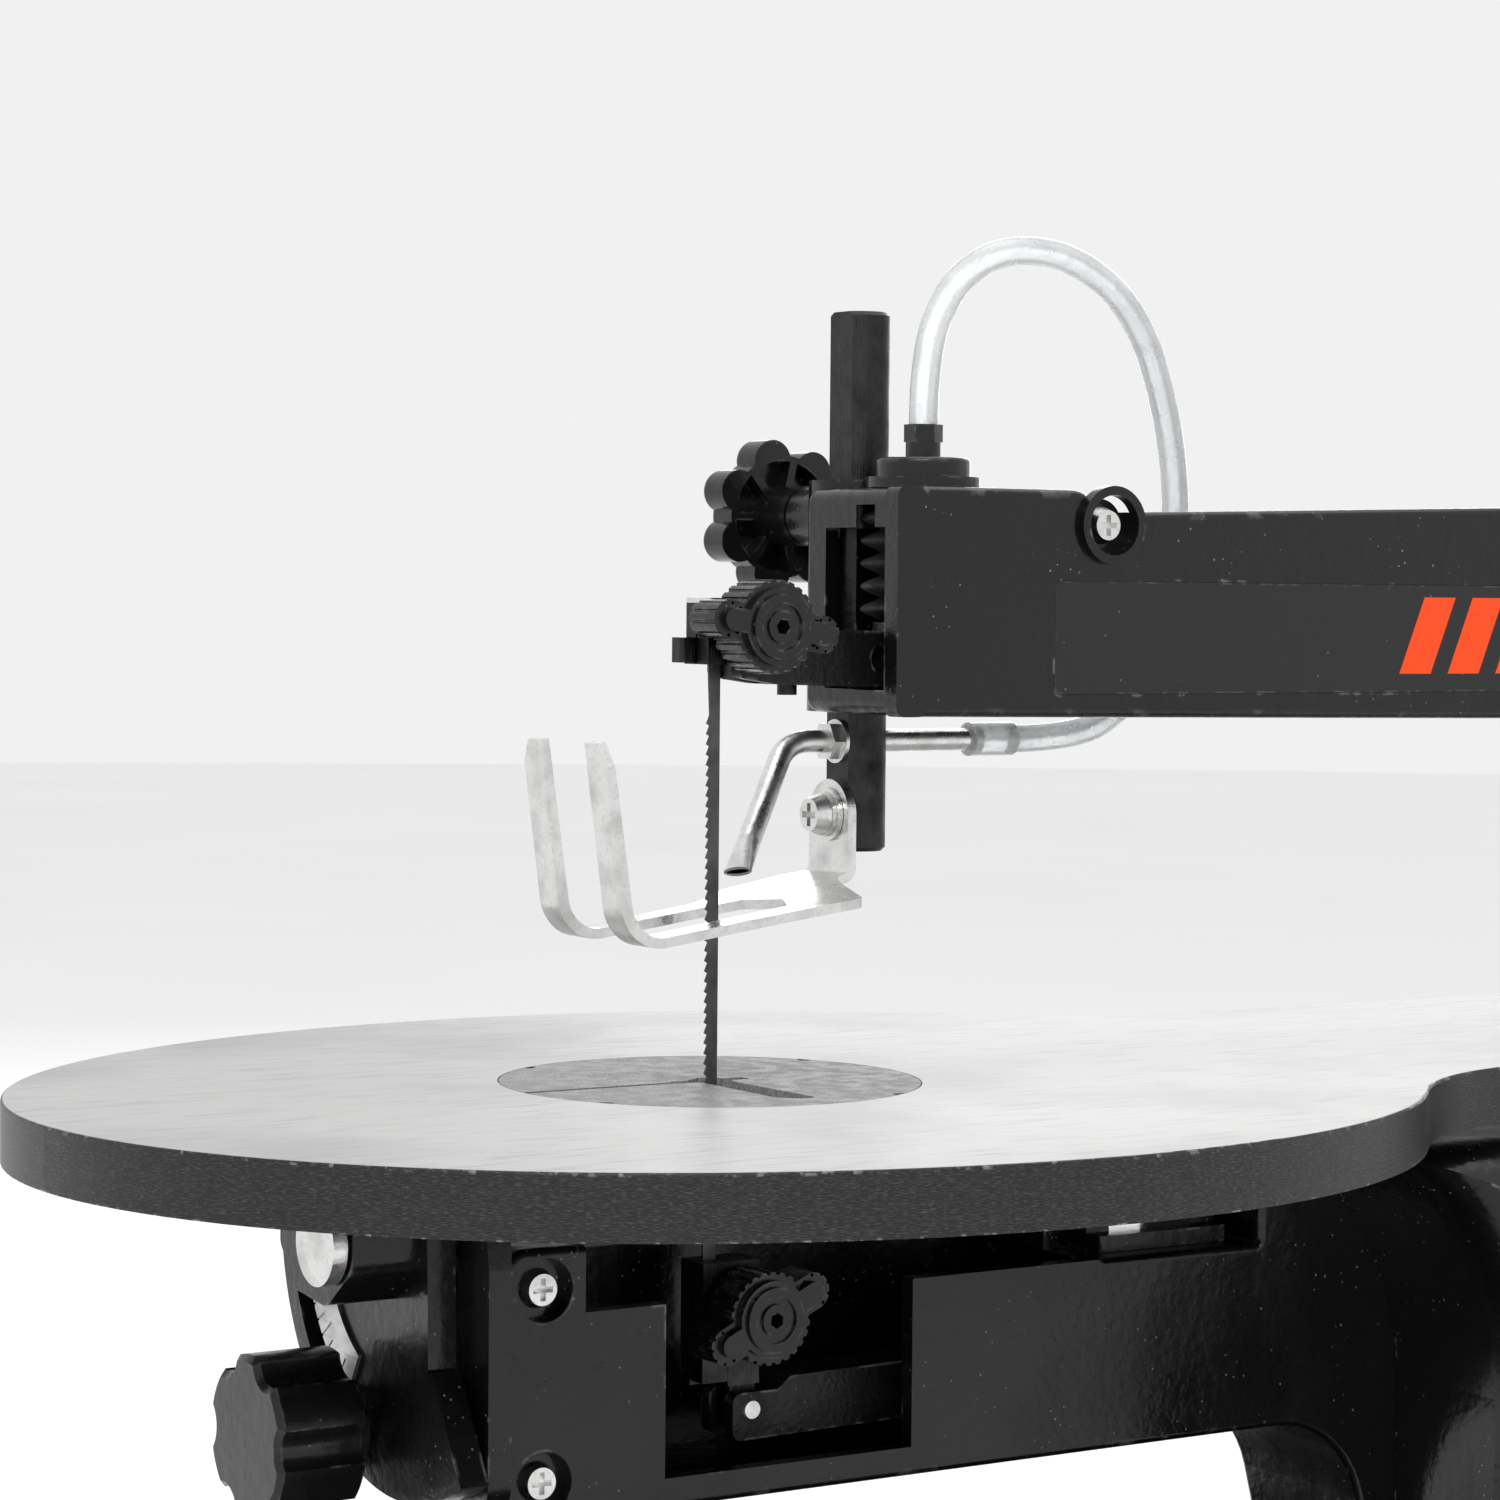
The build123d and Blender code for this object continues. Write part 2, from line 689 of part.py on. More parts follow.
# ---- tension linkage at the back ------------------------------------------------------------
rod_shaft_r = 3.0
barrel_r = 6.0
lever_bottom = beam_back_z + 5.0
lever_height = 20.0
lever_r = 17.0
with BuildPart() as tension_rod:
    block(deck, -3.2, 3.2, tail_y - 6, tail_y + 6, lower_tail - 7, 18, 2.0)
    disc(deck, 0, tail_y, lower_tail + 9, lever_bottom + lever_height - 6 - lower_tail - 9, rod_shaft_r)
    disc(side, tail_y, lower_tail, -5, 10, tail_pin_r + loose, mode=Mode.SUBTRACT)
keep(tension_rod, "tension_rod")

with BuildPart() as tension_barrel:
    block(deck, -3.9, 3.9, tail_y - 6, tail_y + 6, upper_tail - 5, 12.5, 2.0)
    disc(side, tail_y, upper_tail, -link_half_width, 2 * link_half_width, tail_pin_r - loose)
    disc(deck, 0, tail_y, upper_tail + 7.5, lever_bottom - 0.1 - upper_tail - 7.5, sleeve_r)
    disc(deck, 0, tail_y, upper_tail - 8, 60, rod_shaft_r, mode=Mode.SUBTRACT)
keep(tension_barrel, "tension_barrel")


def fluted_knob(plane, u, v, start, length, radius, flutes, flute_r, stud):
    """Round hand knob with scallops round its rim and a bore for its stud."""
    with BuildSketch(plane.offset(start)) as rim:
        with Locations((u, v)):
            Circle(radius)
            with PolarLocations(radius + flute_r * 0.55, flutes):
                Circle(flute_r, mode=Mode.SUBTRACT)
    extrude(rim.sketch, amount=length)
    chamfer(edges_of_end(plane, start + length), min(1.2, length / 6))
    disc(plane, u, v, start - 1, length - 4, stud, mode=Mode.SUBTRACT)


def edges_of_end(plane, distance):
    """Edges of the part being built that lie in the plane at a distance along its normal."""
    end = plane.offset(distance)
    found = BuildPart._get_context().edges()
    return found.filter_by(
        lambda edge: all(abs(end.to_local_coords(v.center()).Z) < 0.01 for v in edge.vertices())
    )


with BuildPart() as tension_knob:
    fluted_knob(deck, 0, tail_y, lever_bottom, lever_height, lever_r, 7, 5.0, rod_shaft_r + running)
keep(tension_knob, "tension_knob")
# ---- drive: motor, crank and yoke -----------------------------------------------------------
pin_centre_z = crank_z - throw
rotor_x = (42.0, 88.0)
can_x = (28.0, 106.0)
can_wall = 2.0
hub_x = (5.0, 13.0)
bearing_thickness = 8.0

with BuildPart() as crankshaft:
    disc(side, crank_y, crank_z, hub_x[0], hub_x[1] - hub_x[0], 24)
    block(
        side,
        crank_y - 30,
        crank_y + 30,
        crank_z - 30,
        crank_z + 1,
        hub_x[0] - 1,
        12,
        mode=Mode.SUBTRACT,
    )
    disc(side, crank_y, crank_z, hub_x[1], can_x[1] - hub_x[1] - 2, shaft_r)
    disc(side, crank_y, crank_z, hub_x[0], hub_x[1] - hub_x[0], 12)
    disc(side, crank_y, pin_centre_z, -hub_x[0], 2 * hub_x[0], crank_pin_r)
keep(crankshaft, "crankshaft")

with BuildPart() as crank_bearing:
    disc(side, crank_y, pin_centre_z, -4, 8, bearing_r, hole=crank_pin_r)
keep(crank_bearing, "crank_bearing")

window_width = 2 * (bearing_r + throw + 0.5)
window_height = 2 * (bearing_r + 0.25 * throw)
yoke_wall = 4.5
yoke_crown = 4.5  # pin centre to the top of the yoke, under the roof of the arm's slot
with BuildPart() as yoke:
    left = crank_y - window_width / 2
    low = pin_centre_z - window_height / 2
    block(
        side,
        left - yoke_wall,
        left + window_width + yoke_wall,
        low - yoke_wall,
        low + window_height + yoke_wall,
        -4,
        8,
        3,
    )
    block(side, left, left + window_width, low, low + window_height, -5, 10, 2, mode=Mode.SUBTRACT)
    neck = [
        (crank_y - 12, low + window_height + yoke_wall - 1, 0),
        (crank_y - 5.5, yoke_pin_z - 8, 4),
        (crank_y - 5.5, yoke_pin_z + yoke_crown, 4),
        (crank_y + 5.5, yoke_pin_z + yoke_crown, 4),
        (crank_y + 5.5, yoke_pin_z - 8, 4),
        (crank_y + 12, low + window_height + yoke_wall - 1, 0),
    ]
    solid(side, neck, -yoke_tongue_x, 2 * yoke_tongue_x)
    disc(side, crank_y, yoke_pin_z, -5, 10, tail_pin_r + running, mode=Mode.SUBTRACT)
keep(yoke, "yoke")

with BuildPart() as rotor:
    disc(side, crank_y, crank_z, rotor_x[0], rotor_x[1] - rotor_x[0], 30, hole=shaft_r)
    with BuildSketch(side.offset(rotor_x[0])) as slots:
        with Locations((crank_y, crank_z)):
            with PolarLocations(29, 12):
                Rectangle(5, 2)
    extrude(slots.sketch, amount=rotor_x[1] - rotor_x[0], mode=Mode.SUBTRACT)
keep(rotor, "rotor")

with BuildPart() as motor_fan:
    disc(side, crank_y, crank_z, 91, 4, 10, hole=shaft_r)
    with BuildSketch(side.offset(91)) as vanes:
        with Locations((crank_y, crank_z)):
            with PolarLocations(19, 9):
                Rectangle(20, 1.6)
    extrude(vanes.sketch, amount=4)
    disc(side, crank_y, crank_z, 95, 1.2, 29, hole=shaft_r)
keep(motor_fan, "motor_fan")

with BuildPart() as motor_can:
    disc(side, crank_y, crank_z, can_x[0], can_x[1] - can_x[0], motor_r - 1.5)
    disc(
        side,
        crank_y,
        crank_z,
        can_x[0] - 1,
        can_x[1] - can_x[0] + 1 - can_wall,
        motor_r - 3.5,
        mode=Mode.SUBTRACT,
    )
    disc(side, crank_y, crank_z, can_x[1] - can_wall - 7, 7, bearing_seat_r + 2)
    disc(side, crank_y, crank_z, rotor_x[0], rotor_x[1] - rotor_x[0], motor_r - 3, hole=30.6)
    disc(side, crank_y, crank_z, can_x[1] - can_wall - 8, 8, bearing_seat_r, mode=Mode.SUBTRACT)
keep(motor_can, "motor_can")

with BuildPart() as motor_bearings:
    disc(side, crank_y, crank_z, wall_x, bearing_thickness, bearing_seat_r, hole=shaft_r + running)
    disc(side, crank_y, crank_z, can_x[1] - can_wall - 7, 7, bearing_seat_r, hole=shaft_r + running)
keep(motor_bearings, "motor_bearings")

housing_x = (arm_half_width + 0.1, 66.0)
motor_housing_top = -16.0
motor_housing_y = (125.0, 332.0)
motor_housing_bottom = -148.0
with BuildPart() as motor_housing:
    with BuildSketch(side.offset(housing_x[0])) as drawn:
        with BuildLine():
            top_front = (motor_housing_y[0], motor_housing_top)
            cut = ThreePointArc(top_front, (153, -37), (165, -72))
            down = Polyline(
                cut @ 1,
                (165, motor_housing_bottom + 24),
                (189, motor_housing_bottom),
                (motor_housing_y[1], motor_housing_bottom),
                (motor_housing_y[1], motor_housing_top),
                top_front,
            )
        make_face()
    extrude(drawn.sketch, amount=housing_x[1] - housing_x[0])
    fillet(edges_at(Axis.X, housing_x[1]), 15)
    with BuildSketch(side.offset(housing_x[0])) as inside:
        with BuildLine():
            top_front = (motor_housing_y[0] + 10, motor_housing_top - 4)
            cut = ThreePointArc(top_front, (158, -41), (169, -74))
            down = Polyline(
                cut @ 1,
                (169, motor_housing_bottom + 25),
                (191, motor_housing_bottom + 4),
                (motor_housing_y[1] - 4, motor_housing_bottom + 4),
                (motor_housing_y[1] - 4, motor_housing_top - 4),
                top_front,
            )
        make_face()
    extrude(inside.sketch, amount=housing_x[1] - housing_x[0] - 16, mode=Mode.SUBTRACT)
    disc(side, crank_y, crank_z, housing_x[0], 60, motor_r - 1.5, mode=Mode.SUBTRACT)
    for y, z in frame_screw_points[8:]:
        disc(side, y, z, housing_x[0] - 1, 60, counterbore_r, mode=Mode.SUBTRACT)
    for count in range(6):
        block(
            side, 275 + 8 * count, 278 + 8 * count, -120, -70, housing_x[0], 60, 1.4, mode=Mode.SUBTRACT,
        )
keep(motor_housing, "motor_housing")

cap_start = housing_x[1] + 0.1
cap_length = 54.0
with BuildPart() as motor_end_cap:
    disc(side, crank_y, crank_z, cap_start, cap_length, motor_r + 2)
    fillet(edges_at(Axis.X, cap_start + cap_length), 6)
    disc(side, crank_y, crank_z, cap_start - 1, cap_length - 2, motor_r - 1.4, mode=Mode.SUBTRACT)
    with BuildSketch(side.offset(cap_start + cap_length)) as vents:
        with Locations((crank_y, crank_z)):
            with PolarLocations(24, 16):
                SlotOverall(20, 3)
    extrude(vents.sketch, amount=-10, mode=Mode.SUBTRACT)
keep(motor_end_cap, "motor_end_cap")

# ---- arm head -------------------------------------------------------------------------------
with BuildPart() as hold_down_rod:
    disc(deck, rod_x, rod_y, rod_bottom, rod_top - rod_bottom, rod_r)
    chamfer(edges_at(Axis.Z, table_height + rod_top), 0.8)
    chamfer(edges_at(Axis.Z, table_height + rod_bottom), 0.8)
    block(
        deck,
        rod_x - 8,
        rod_x + 8,
        rod_y - rod_r - 1,
        rod_y - rod_flat,
        rod_bottom - 1,
        120,
        mode=Mode.SUBTRACT,
    )
    disc(front, rod_x, tube_z, -rod_y - 12, 24, tube_r, mode=Mode.SUBTRACT)
    disc(front, rod_x, foot_screw_z, -rod_y - 3, 10, 2.0, mode=Mode.SUBTRACT)
keep(hold_down_rod, "hold_down_rod")

knob_x = (-58.5, -50.0)
with BuildPart() as rod_lock_knob:
    with BuildSketch(side.offset(knob_x[0])) as lobes:
        with Locations((rod_y, knob_z)):
            Circle(13.2)
            with PolarLocations(12.2, 7):
                Circle(4.6)
    extrude(lobes.sketch, amount=knob_x[1] - knob_x[0])
    fillet(edges_at(Axis.X, knob_x[0]), 1.5)
    with BuildSketch(side.offset(knob_x[1])) as hollow:
        with Locations((rod_y, knob_z)):
            Circle(12.0)
            Circle(6.4, mode=Mode.SUBTRACT)
            with PolarLocations(9, 7, start_angle=180 / 7):
                Rectangle(9, 1.8, mode=Mode.SUBTRACT)
    extrude(hollow.sketch, amount=-4.5, mode=Mode.SUBTRACT)
    disc(side, rod_y, knob_z, knob_x[1] - 1, 11.0, 6.4)
    disc(side, rod_y, knob_z, knob_x[1], rod_x - rod_r - gap - knob_x[1], knob_stud_r - running)
keep(rod_lock_knob, "rod_lock_knob")

with BuildPart() as air_bellows:
    turns = 4
    low = 92.0
    high = head_top - shell - 0.2
    pitch = (high - low) / turns
    with BuildSketch(
        Plane(origin=(bellows_x, bellows_y - blade_to_bolts, table_height), x_dir=(1, 0, 0), z_dir=(0, -1, 0)),
    ) as section:
        with BuildLine():
            points = [(0, low), (9, low)]
            for turn in range(turns):
                points.append((9.5, low + pitch * (turn + 0.12)))
                points.append((bellows_r - 0.6, low + pitch * (turn + 0.36)))
                points.append((bellows_r - 0.6, low + pitch * (turn + 0.64)))
                points.append((9.5, low + pitch * (turn + 0.88)))
            points += [(9, high), (0, high)]
            Polyline(*points, close=True)
        make_face()
    revolve(section.sketch, axis=Axis((bellows_x, bellows_y - blade_to_bolts, 0), (0, 0, 1)))
keep(air_bellows, "air_bellows")

with BuildPart() as bellows_cap:
    disc(deck, bellows_x, bellows_y, head_top - shell, shell + 6.3, cap_neck_r)
    disc(deck, bellows_x, bellows_y, head_top + 0.1, 2.2, 11.7)
    fillet(edges_at(Axis.Z, table_height + head_top + 6.3), 1.0)
    disc(deck, bellows_x, bellows_y, head_top - shell - 1, 14, 2.4, mode=Mode.SUBTRACT)
keep(bellows_cap, "bellows_cap")

fitting_top = 132.2
with BuildPart() as hose_fitting:
    disc(deck, bellows_x, bellows_y, head_top + 3, fitting_top - head_top - 3, 2.4)
    disc(deck, bellows_x, bellows_y, head_top + 6.3, 3.2, 3.6)
    with BuildSketch(deck.offset(head_top + 9.5)) as collar:
        with Locations((bellows_x, bellows_y)):
            RegularPolygon(4.0, 6)
    extrude(collar.sketch, amount=fitting_top - head_top - 9.5)
    disc(deck, bellows_x, bellows_y, head_top + 2, 20, 1.4, mode=Mode.SUBTRACT)
keep(hose_fitting, "hose_fitting")

# blower tube through the rod, bent down to a flattened nozzle beside the blade
sleeve_y = (77.5, 88.7)
tube_points = [(rod_x, 80.0, tube_z), (rod_x, 31.0, tube_z), (-7.5, 13.5, 47.0)]
with BuildPart() as blower_tube:
    with BuildLine() as route:
        FilletPolyline(*[deck.from_local_coords(point) for point in tube_points], radius=11)
    for radius, mode in ((tube_r, Mode.ADD), (tube_r - 0.6, Mode.SUBTRACT)):
        with BuildSketch(Plane(origin=route.line @ 0, z_dir=route.line % 0)) as ring:
            Circle(radius)
        sweep(ring.sketch, path=route.line, mode=mode)
    end = Plane(origin=route.line @ 1, x_dir=(1, 0.4, 0), z_dir=route.line % 1)
    with BuildSketch(end) as round_end:
        Circle(tube_r)
        Circle(tube_r - 0.6, mode=Mode.SUBTRACT)
    with BuildSketch(end) as start_shape:
        Ellipse(tube_r, tube_r)
    with BuildSketch(end.offset(8.5)) as tip_shape:
        Ellipse(3.2, 1.3)
    loft([start_shape.sketch, tip_shape.sketch])
    with BuildSketch(end) as start_bore:
        Ellipse(tube_r - 0.6, tube_r - 0.6)
    with BuildSketch(end.offset(8.5)) as tip_bore:
        Ellipse(2.6, 0.6)
    loft([start_bore.sketch, tip_bore.sketch], mode=Mode.SUBTRACT)
keep(blower_tube, "blower_tube")

with BuildPart() as tube_nut:
    disc(front, rod_x, tube_z, -rod_y + rod_flat, 0.8, 4.6, hole=tube_r)
    with BuildSketch(front.offset(-rod_y + rod_flat + 0.8)) as hexagon:
        with Locations((rod_x, tube_z)):
            RegularPolygon(4.2, 6)
            Circle(tube_r, mode=Mode.SUBTRACT)
    extrude(hexagon.sketch, amount=2.6)
keep(tube_nut, "tube_nut")

with BuildPart() as hose_sleeve:
    disc(front, rod_x, tube_z, -sleeve_y[1], sleeve_y[1] - sleeve_y[0], 3.6)
    disc(front, rod_x, tube_z, -80.0, 5, tube_r, mode=Mode.SUBTRACT)
keep(hose_sleeve, "hose_sleeve")

# air hose from the bellows cap over the arm and back under it, held at both ends
hose_points = [
    (bellows_x, bellows_y, fitting_top),
    (bellows_x, bellows_y, 148.0),
    (-0.2, 57.8, 162.5),
    (-4.5, 74.0, 170.2),
    (-11.5, 98.0, 170.0),
    (-19.0, 121.0, 159.0),
    (-26.0, 136.0, 134.0),
    (-30.0, 141.0, 109.0),
    (-30.0, 136.5, 87.0),
    (-26.5, 123.0, 72.5),
    (rod_x, 106.0, tube_z),
    (rod_x, sleeve_y[1], tube_z),
]


def hose_radii(points):
    """Largest even bend at each inner point: 0.45 of the shorter run over tan(half the turn)."""
    radii = []
    for before, at, after in zip(points, points[1:], points[2:]):
        first = Vector(*at) - Vector(*before)
        second = Vector(*after) - Vector(*at)
        turn = math.radians(first.get_angle(second))
        radii.append(0.45 * min(first.length, second.length) / math.tan(turn / 2))
    return radii


hose_bends = hose_radii(hose_points)
print("hose bend radii", [round(radius, 1) for radius in hose_bends])
with BuildPart() as air_hose:
    with BuildLine() as hose_route:
        FilletPolyline(*[deck.from_local_coords(point) for point in hose_points], radius=hose_bends)
    with BuildSketch(Plane(origin=hose_route.line @ 0, z_dir=hose_route.line % 0)) as hose_section:
        Circle(hose_r)
    sweep(hose_section.sketch, path=hose_route.line)
hose_length = sum(edge.length for edge in hose_route.edges())
print(
    "hose length",
    round(hose_length, 1),
    "section times length",
    round(math.pi * hose_r**2 * hose_length),
)
print("hose volume", round(air_hose.part.volume))
keep(air_hose, "air_hose")

# hold-down foot: one bent sheet, an ear on the rod's flat and a fork with upturned tips
ear_half = 7.4
slope = math.tan(math.radians(8))
prong_in = 8.65
prong_out = 15.95
bend_y = -29.0
ear_y = rod_y - rod_flat - 0.1
fork_z = 31.4  # underside of the fork plane at Y = 0
turn_z = fork_z + bend_y * slope
lean = math.tan(math.radians(8))
tip_z = 68.6
with BuildPart() as foot:
    sheet = [
        (ear_y, foot_screw_z + ear_half, 0),
        (ear_y - foot_thickness, foot_screw_z + ear_half, 0),
        (ear_y - foot_thickness, fork_z + (ear_y - 2) * slope + 2, 1.5),
        (bend_y + 2.2, turn_z + 2.3, 7),
        (bend_y + 2.2 - (tip_z - turn_z) * lean, tip_z, 0),
        (bend_y + 0.2 - (tip_z - turn_z) * lean, tip_z - 0.3, 0),
        (bend_y, turn_z, 9),
        (ear_y, fork_z + ear_y * slope, 3.5),
    ]
    solid(side, sheet, -40, 70)
    with BuildSketch(deck) as plan:
        with BuildLine():
            FilletPolyline(
                (rod_x - ear_half, ear_y + 1),
                (rod_x - ear_half, 34.0),
                (-25.0, 18.0),
                (-prong_out, 6.0),
                (-prong_out, -50.0),
                (prong_out, -50.0),
                (prong_out, 8.0),
                (17.0, 25.0),
                (-2.0, 33.0),
                (rod_x + ear_half, 38.5),
                (rod_x + ear_half, ear_y + 1),
                radius=[0, 8, 4, 12, 0, 0, 5, 2, 20, 3, 0],
                close=True,
            )
        make_face()
        with BuildLine():
            Polyline(
                (-prong_in, -51),
                (-prong_in, 12.5),
                (0, 17.0),
                (prong_in, 12.5),
                (prong_in, -51),
                close=True,
            )
        make_face(mode=Mode.SUBTRACT)
    extrude(plan.sketch, amount=100, mode=Mode.INTERSECT)
    # rounded ear and chamfered tips
    with BuildSketch(front.offset(-ear_y - 1)) as ear_corner:
        with Locations((rod_x, foot_screw_z)):
            Rectangle(4 * ear_half, 2 * ear_half + 0.2, align=(Align.CENTER, Align.MIN))
            Circle(ear_half, mode=Mode.SUBTRACT)
    extrude(ear_corner.sketch, amount=5, mode=Mode.SUBTRACT)
    disc(front, rod_x, foot_screw_z, -ear_y - 1, 5, 2.3, mode=Mode.SUBTRACT)
    for hand in (1, -1):
        with BuildSketch(front.offset(20)) as tip_corner:
            with BuildLine():
                Polyline(
                    (hand * (prong_out - 3.2), tip_z + 1),
                    (hand * (prong_out + 1), tip_z + 1),
                    (hand * (prong_out + 1), tip_z - 6.5),
                    close=True,
                )
            make_face()
        extrude(tip_corner.sketch, amount=40, mode=Mode.SUBTRACT)
keep(foot, "foot")

with BuildPart() as foot_fasteners:
    pan_screw(front, rod_x, foot_screw_z, -ear_y + foot_thickness + 2.0, 11.5, 2.0, 4.4, 3.0)
    disc(front, rod_x, foot_screw_z, -ear_y + foot_thickness + 0.1, 0.8, 5.6, hole=2.1)
    disc(front, rod_x, foot_screw_z, -ear_y + foot_thickness + 0.95, 1.0, 4.6, hole=2.1)
keep(foot_fasteners, "foot_fasteners")

# ---- table ----------------------------------------------------------------------------------
shift = table_half_width - neck_half_width
rise_y = neck_start - table_widest
turn = 2 * math.atan(shift / rise_y)
arc_sum = rise_y / math.sin(turn)
shoulder_r = 0.68 * arc_sum
throat_r = arc_sum - shoulder_r
corner = 9.0
turn_degrees = math.degrees(turn)
tilt_axis_z = -tilt_drop


def table_outline(inset=0.0):
    """Half outline of the keyhole table, from the front to the back on +X, then mirrored."""
    half_width = table_half_width - inset
    neck = neck_half_width - inset
    back = table_back - inset
    with BuildSketch() as drawn:
        with BuildLine():
            EllipticalCenterArc(
                (
                    0, table_widest,
                ), half_width, table_front + table_widest - inset, start_angle=270, arc_size=90
            )
            CenterArc(
                (table_half_width - shoulder_r, table_widest), shoulder_r - inset, 0, turn_degrees
            )
            CenterArc(
                (
                    neck_half_width + throat_r, neck_start,
                ), throat_r + inset, 180 + turn_degrees, -turn_degrees
            )
            Line((neck, neck_start), (neck, back - corner))
            CenterArc((neck - corner, back - corner), corner, 0, 90)
            Line((neck - corner, back), (0, back))
            mirror(about=Plane.YZ)
        make_face()
    return drawn.sketch


pad_front = (-84.0, -56.0)
pad_rear = (92.0, 118.0)
pad_x = 26.0
insert_ledge_r = 36.0
with BuildPart() as table:
    with BuildSketch(deck.offset(-table_rim)) as plate:
        add(table_outline())
    extrude(plate.sketch, amount=table_rim)
    with BuildSketch(deck.offset(-table_rim)) as under:
        add(table_outline(inset=8))
        Circle(insert_r + 8, mode=Mode.SUBTRACT)
        for y0, y1 in (pad_front, pad_rear):
            with Locations((0, (y0 + y1) / 2)):
                Rectangle(2 * pad_x, y1 - y0, mode=Mode.SUBTRACT)
    extrude(under.sketch, amount=table_rim - table_skin, mode=Mode.SUBTRACT)
    fillet(edges_at(Axis.Z, table_height), 0.6)
    disc(deck, 0, 0, -insert_thickness, 5, insert_r + 0.25, mode=Mode.SUBTRACT)
    disc(deck, 0, 0, -table_rim - 1, table_rim + 2, insert_ledge_r, mode=Mode.SUBTRACT)
keep(table, "table")

with BuildPart() as table_insert:
    with BuildSketch(deck.offset(-insert_thickness)) as plate:
        Circle(insert_r)
        with BuildLine():
            Polyline((-0.95, -insert_r - 1), (-0.95, 0), (0.95, 0), (0.95, -insert_r - 1), close=True)
        make_face(mode=Mode.SUBTRACT)
        RegularPolygon(4.6, 6, mode=Mode.SUBTRACT)
        Rectangle(3.4, 17, mode=Mode.SUBTRACT)
        with BuildLine():
            FilletPolyline(
                (0, -3.2),
                (29, -3.4),
                (33, 0),
                (33, 4),
                (0, 3.2),
                radius=[0, 1.5, 2, 1.5, 0],
                close=True,
            )
        make_face(mode=Mode.SUBTRACT)
        with PolarLocations(insert_r, 4, start_angle=-60):
            Circle(1.6, mode=Mode.SUBTRACT)
    extrude(plate.sketch, amount=insert_thickness)
keep(table_insert, "table_insert")

# ---- table tilt: trunnions on the table, brackets on the frame ------------------------------
sector_y = 64.0  # back face of the front sector, ahead of the blade
sector_thickness = 6.0
slot_r = 42.5
stud_angle = -113.0
stud_x = slot_r * math.cos(math.radians(stud_angle))
stud_z = tilt_axis_z + slot_r * math.sin(math.radians(stud_angle))
stud_r = 3.0
tilt_range = 45.0
slot_play = 0.5  # each side of the stud
slot_spare = 0.8  # degrees of slot past the stud at each end of the tilt
lug_y = (64.0, 84.0)

with BuildPart() as front_trunnion:
    with BuildSketch(front.offset(sector_y)) as sector:
        with Locations((0, tilt_axis_z)):
            Circle(50.5)
            Circle(27.5, mode=Mode.SUBTRACT)
        with BuildLine():
            Polyline(
                (0, tilt_axis_z),
                (80, -160),
                (160, -160),
                (160, 90),
                (-160, 90),
                (-160, tilt_axis_z - 2),
                close=True,
            )
        make_face(mode=Mode.SUBTRACT)
        # web from the hub up to the table pad and down to the sector
        with BuildLine():
            FilletPolyline(
                (-pad_x + 2, -table_rim),
                (-pad_x + 2, -20),
                (-27, tilt_axis_z - 16),
                (-6, tilt_axis_z - 32),
                (13, tilt_axis_z - 32),
                (12, -20),
                (12, -table_rim),
                radius=[0, 2, 0, 0, 3, 3, 0],
                close=True,
            )
        make_face()
    extrude(sector.sketch, amount=sector_thickness)
    with BuildSketch(front.offset(sector_y - 1)) as slot:
        with BuildLine():
            slot_start = stud_angle - tilt_range - slot_spare
            CenterArc((0, tilt_axis_z), slot_r, slot_start, tilt_range + 2 * slot_spare)
            offset(amount=stud_r + slot_play, side=Side.BOTH)
        make_face()
    extrude(slot.sketch, amount=sector_thickness + 2, mode=Mode.SUBTRACT)
    # faceted lug in front of the web, under the table pad
    lug = [
        (-22, -table_rim, 0),
        (-22, -29, 3),
        (-15, -37, 3),
        (-2, -38.5, 4),
        (9, -30, 4),
        (9, -table_rim, 0),
    ]
    solid(front, lug, sector_y + sector_thickness, lug_y[1] - sector_y - sector_thickness)
    disc(front, 0, tilt_axis_z, sector_y - 1, 30, pivot_r + running, mode=Mode.SUBTRACT)
keep(front_trunnion, "front_trunnion")

tick_step = 5.0
with BuildPart() as bevel_scale:
    with BuildSketch(front.offset(sector_y + sector_thickness)) as scale:
        with Locations((0, tilt_axis_z)):
            Circle(38.2)
            Circle(29.0, mode=Mode.SUBTRACT)
        with BuildLine():
            Polyline(
                (0, tilt_axis_z), (-60, -130), (160, -160), (160, 90), (-160, 90), (
                    -160, tilt_axis_z - 6,
                ), close=True
            )
        make_face(mode=Mode.SUBTRACT)
    extrude(scale.sketch, amount=0.8)
    with BuildSketch(front.offset(sector_y + sector_thickness + 0.8)) as ticks:
        with Locations((0, tilt_axis_z)):
            for count in range(int(tilt_range / tick_step) + 1):
                long_tick = count % 3 == 0
                reach = 5.0 if long_tick else 3.2
                with PolarLocations(38.2 - reach / 2, 1, start_angle=-172 + count * tick_step):
                    Rectangle(reach, 0.5)
    extrude(ticks.sketch, amount=-0.3, mode=Mode.SUBTRACT)
keep(bevel_scale, "bevel_scale")

with BuildPart() as rear_trunnion:
    web = [
        (-14, -table_rim, 0),
        (-14, -15.5, 2),
        (-8, tilt_axis_z, 0),
        (8, tilt_axis_z, 0),
        (14, -15.5, 2),
        (14, -table_rim, 0),
    ]
    solid(front, web, -112.0, 15.0)
    disc(front, 0, tilt_axis_z, -112.0, 15.0, 8.0)
    disc(front, 0, tilt_axis_z, -113.0, 17.0, 4.0 + running, mode=Mode.SUBTRACT)
keep(rear_trunnion, "rear_trunnion")

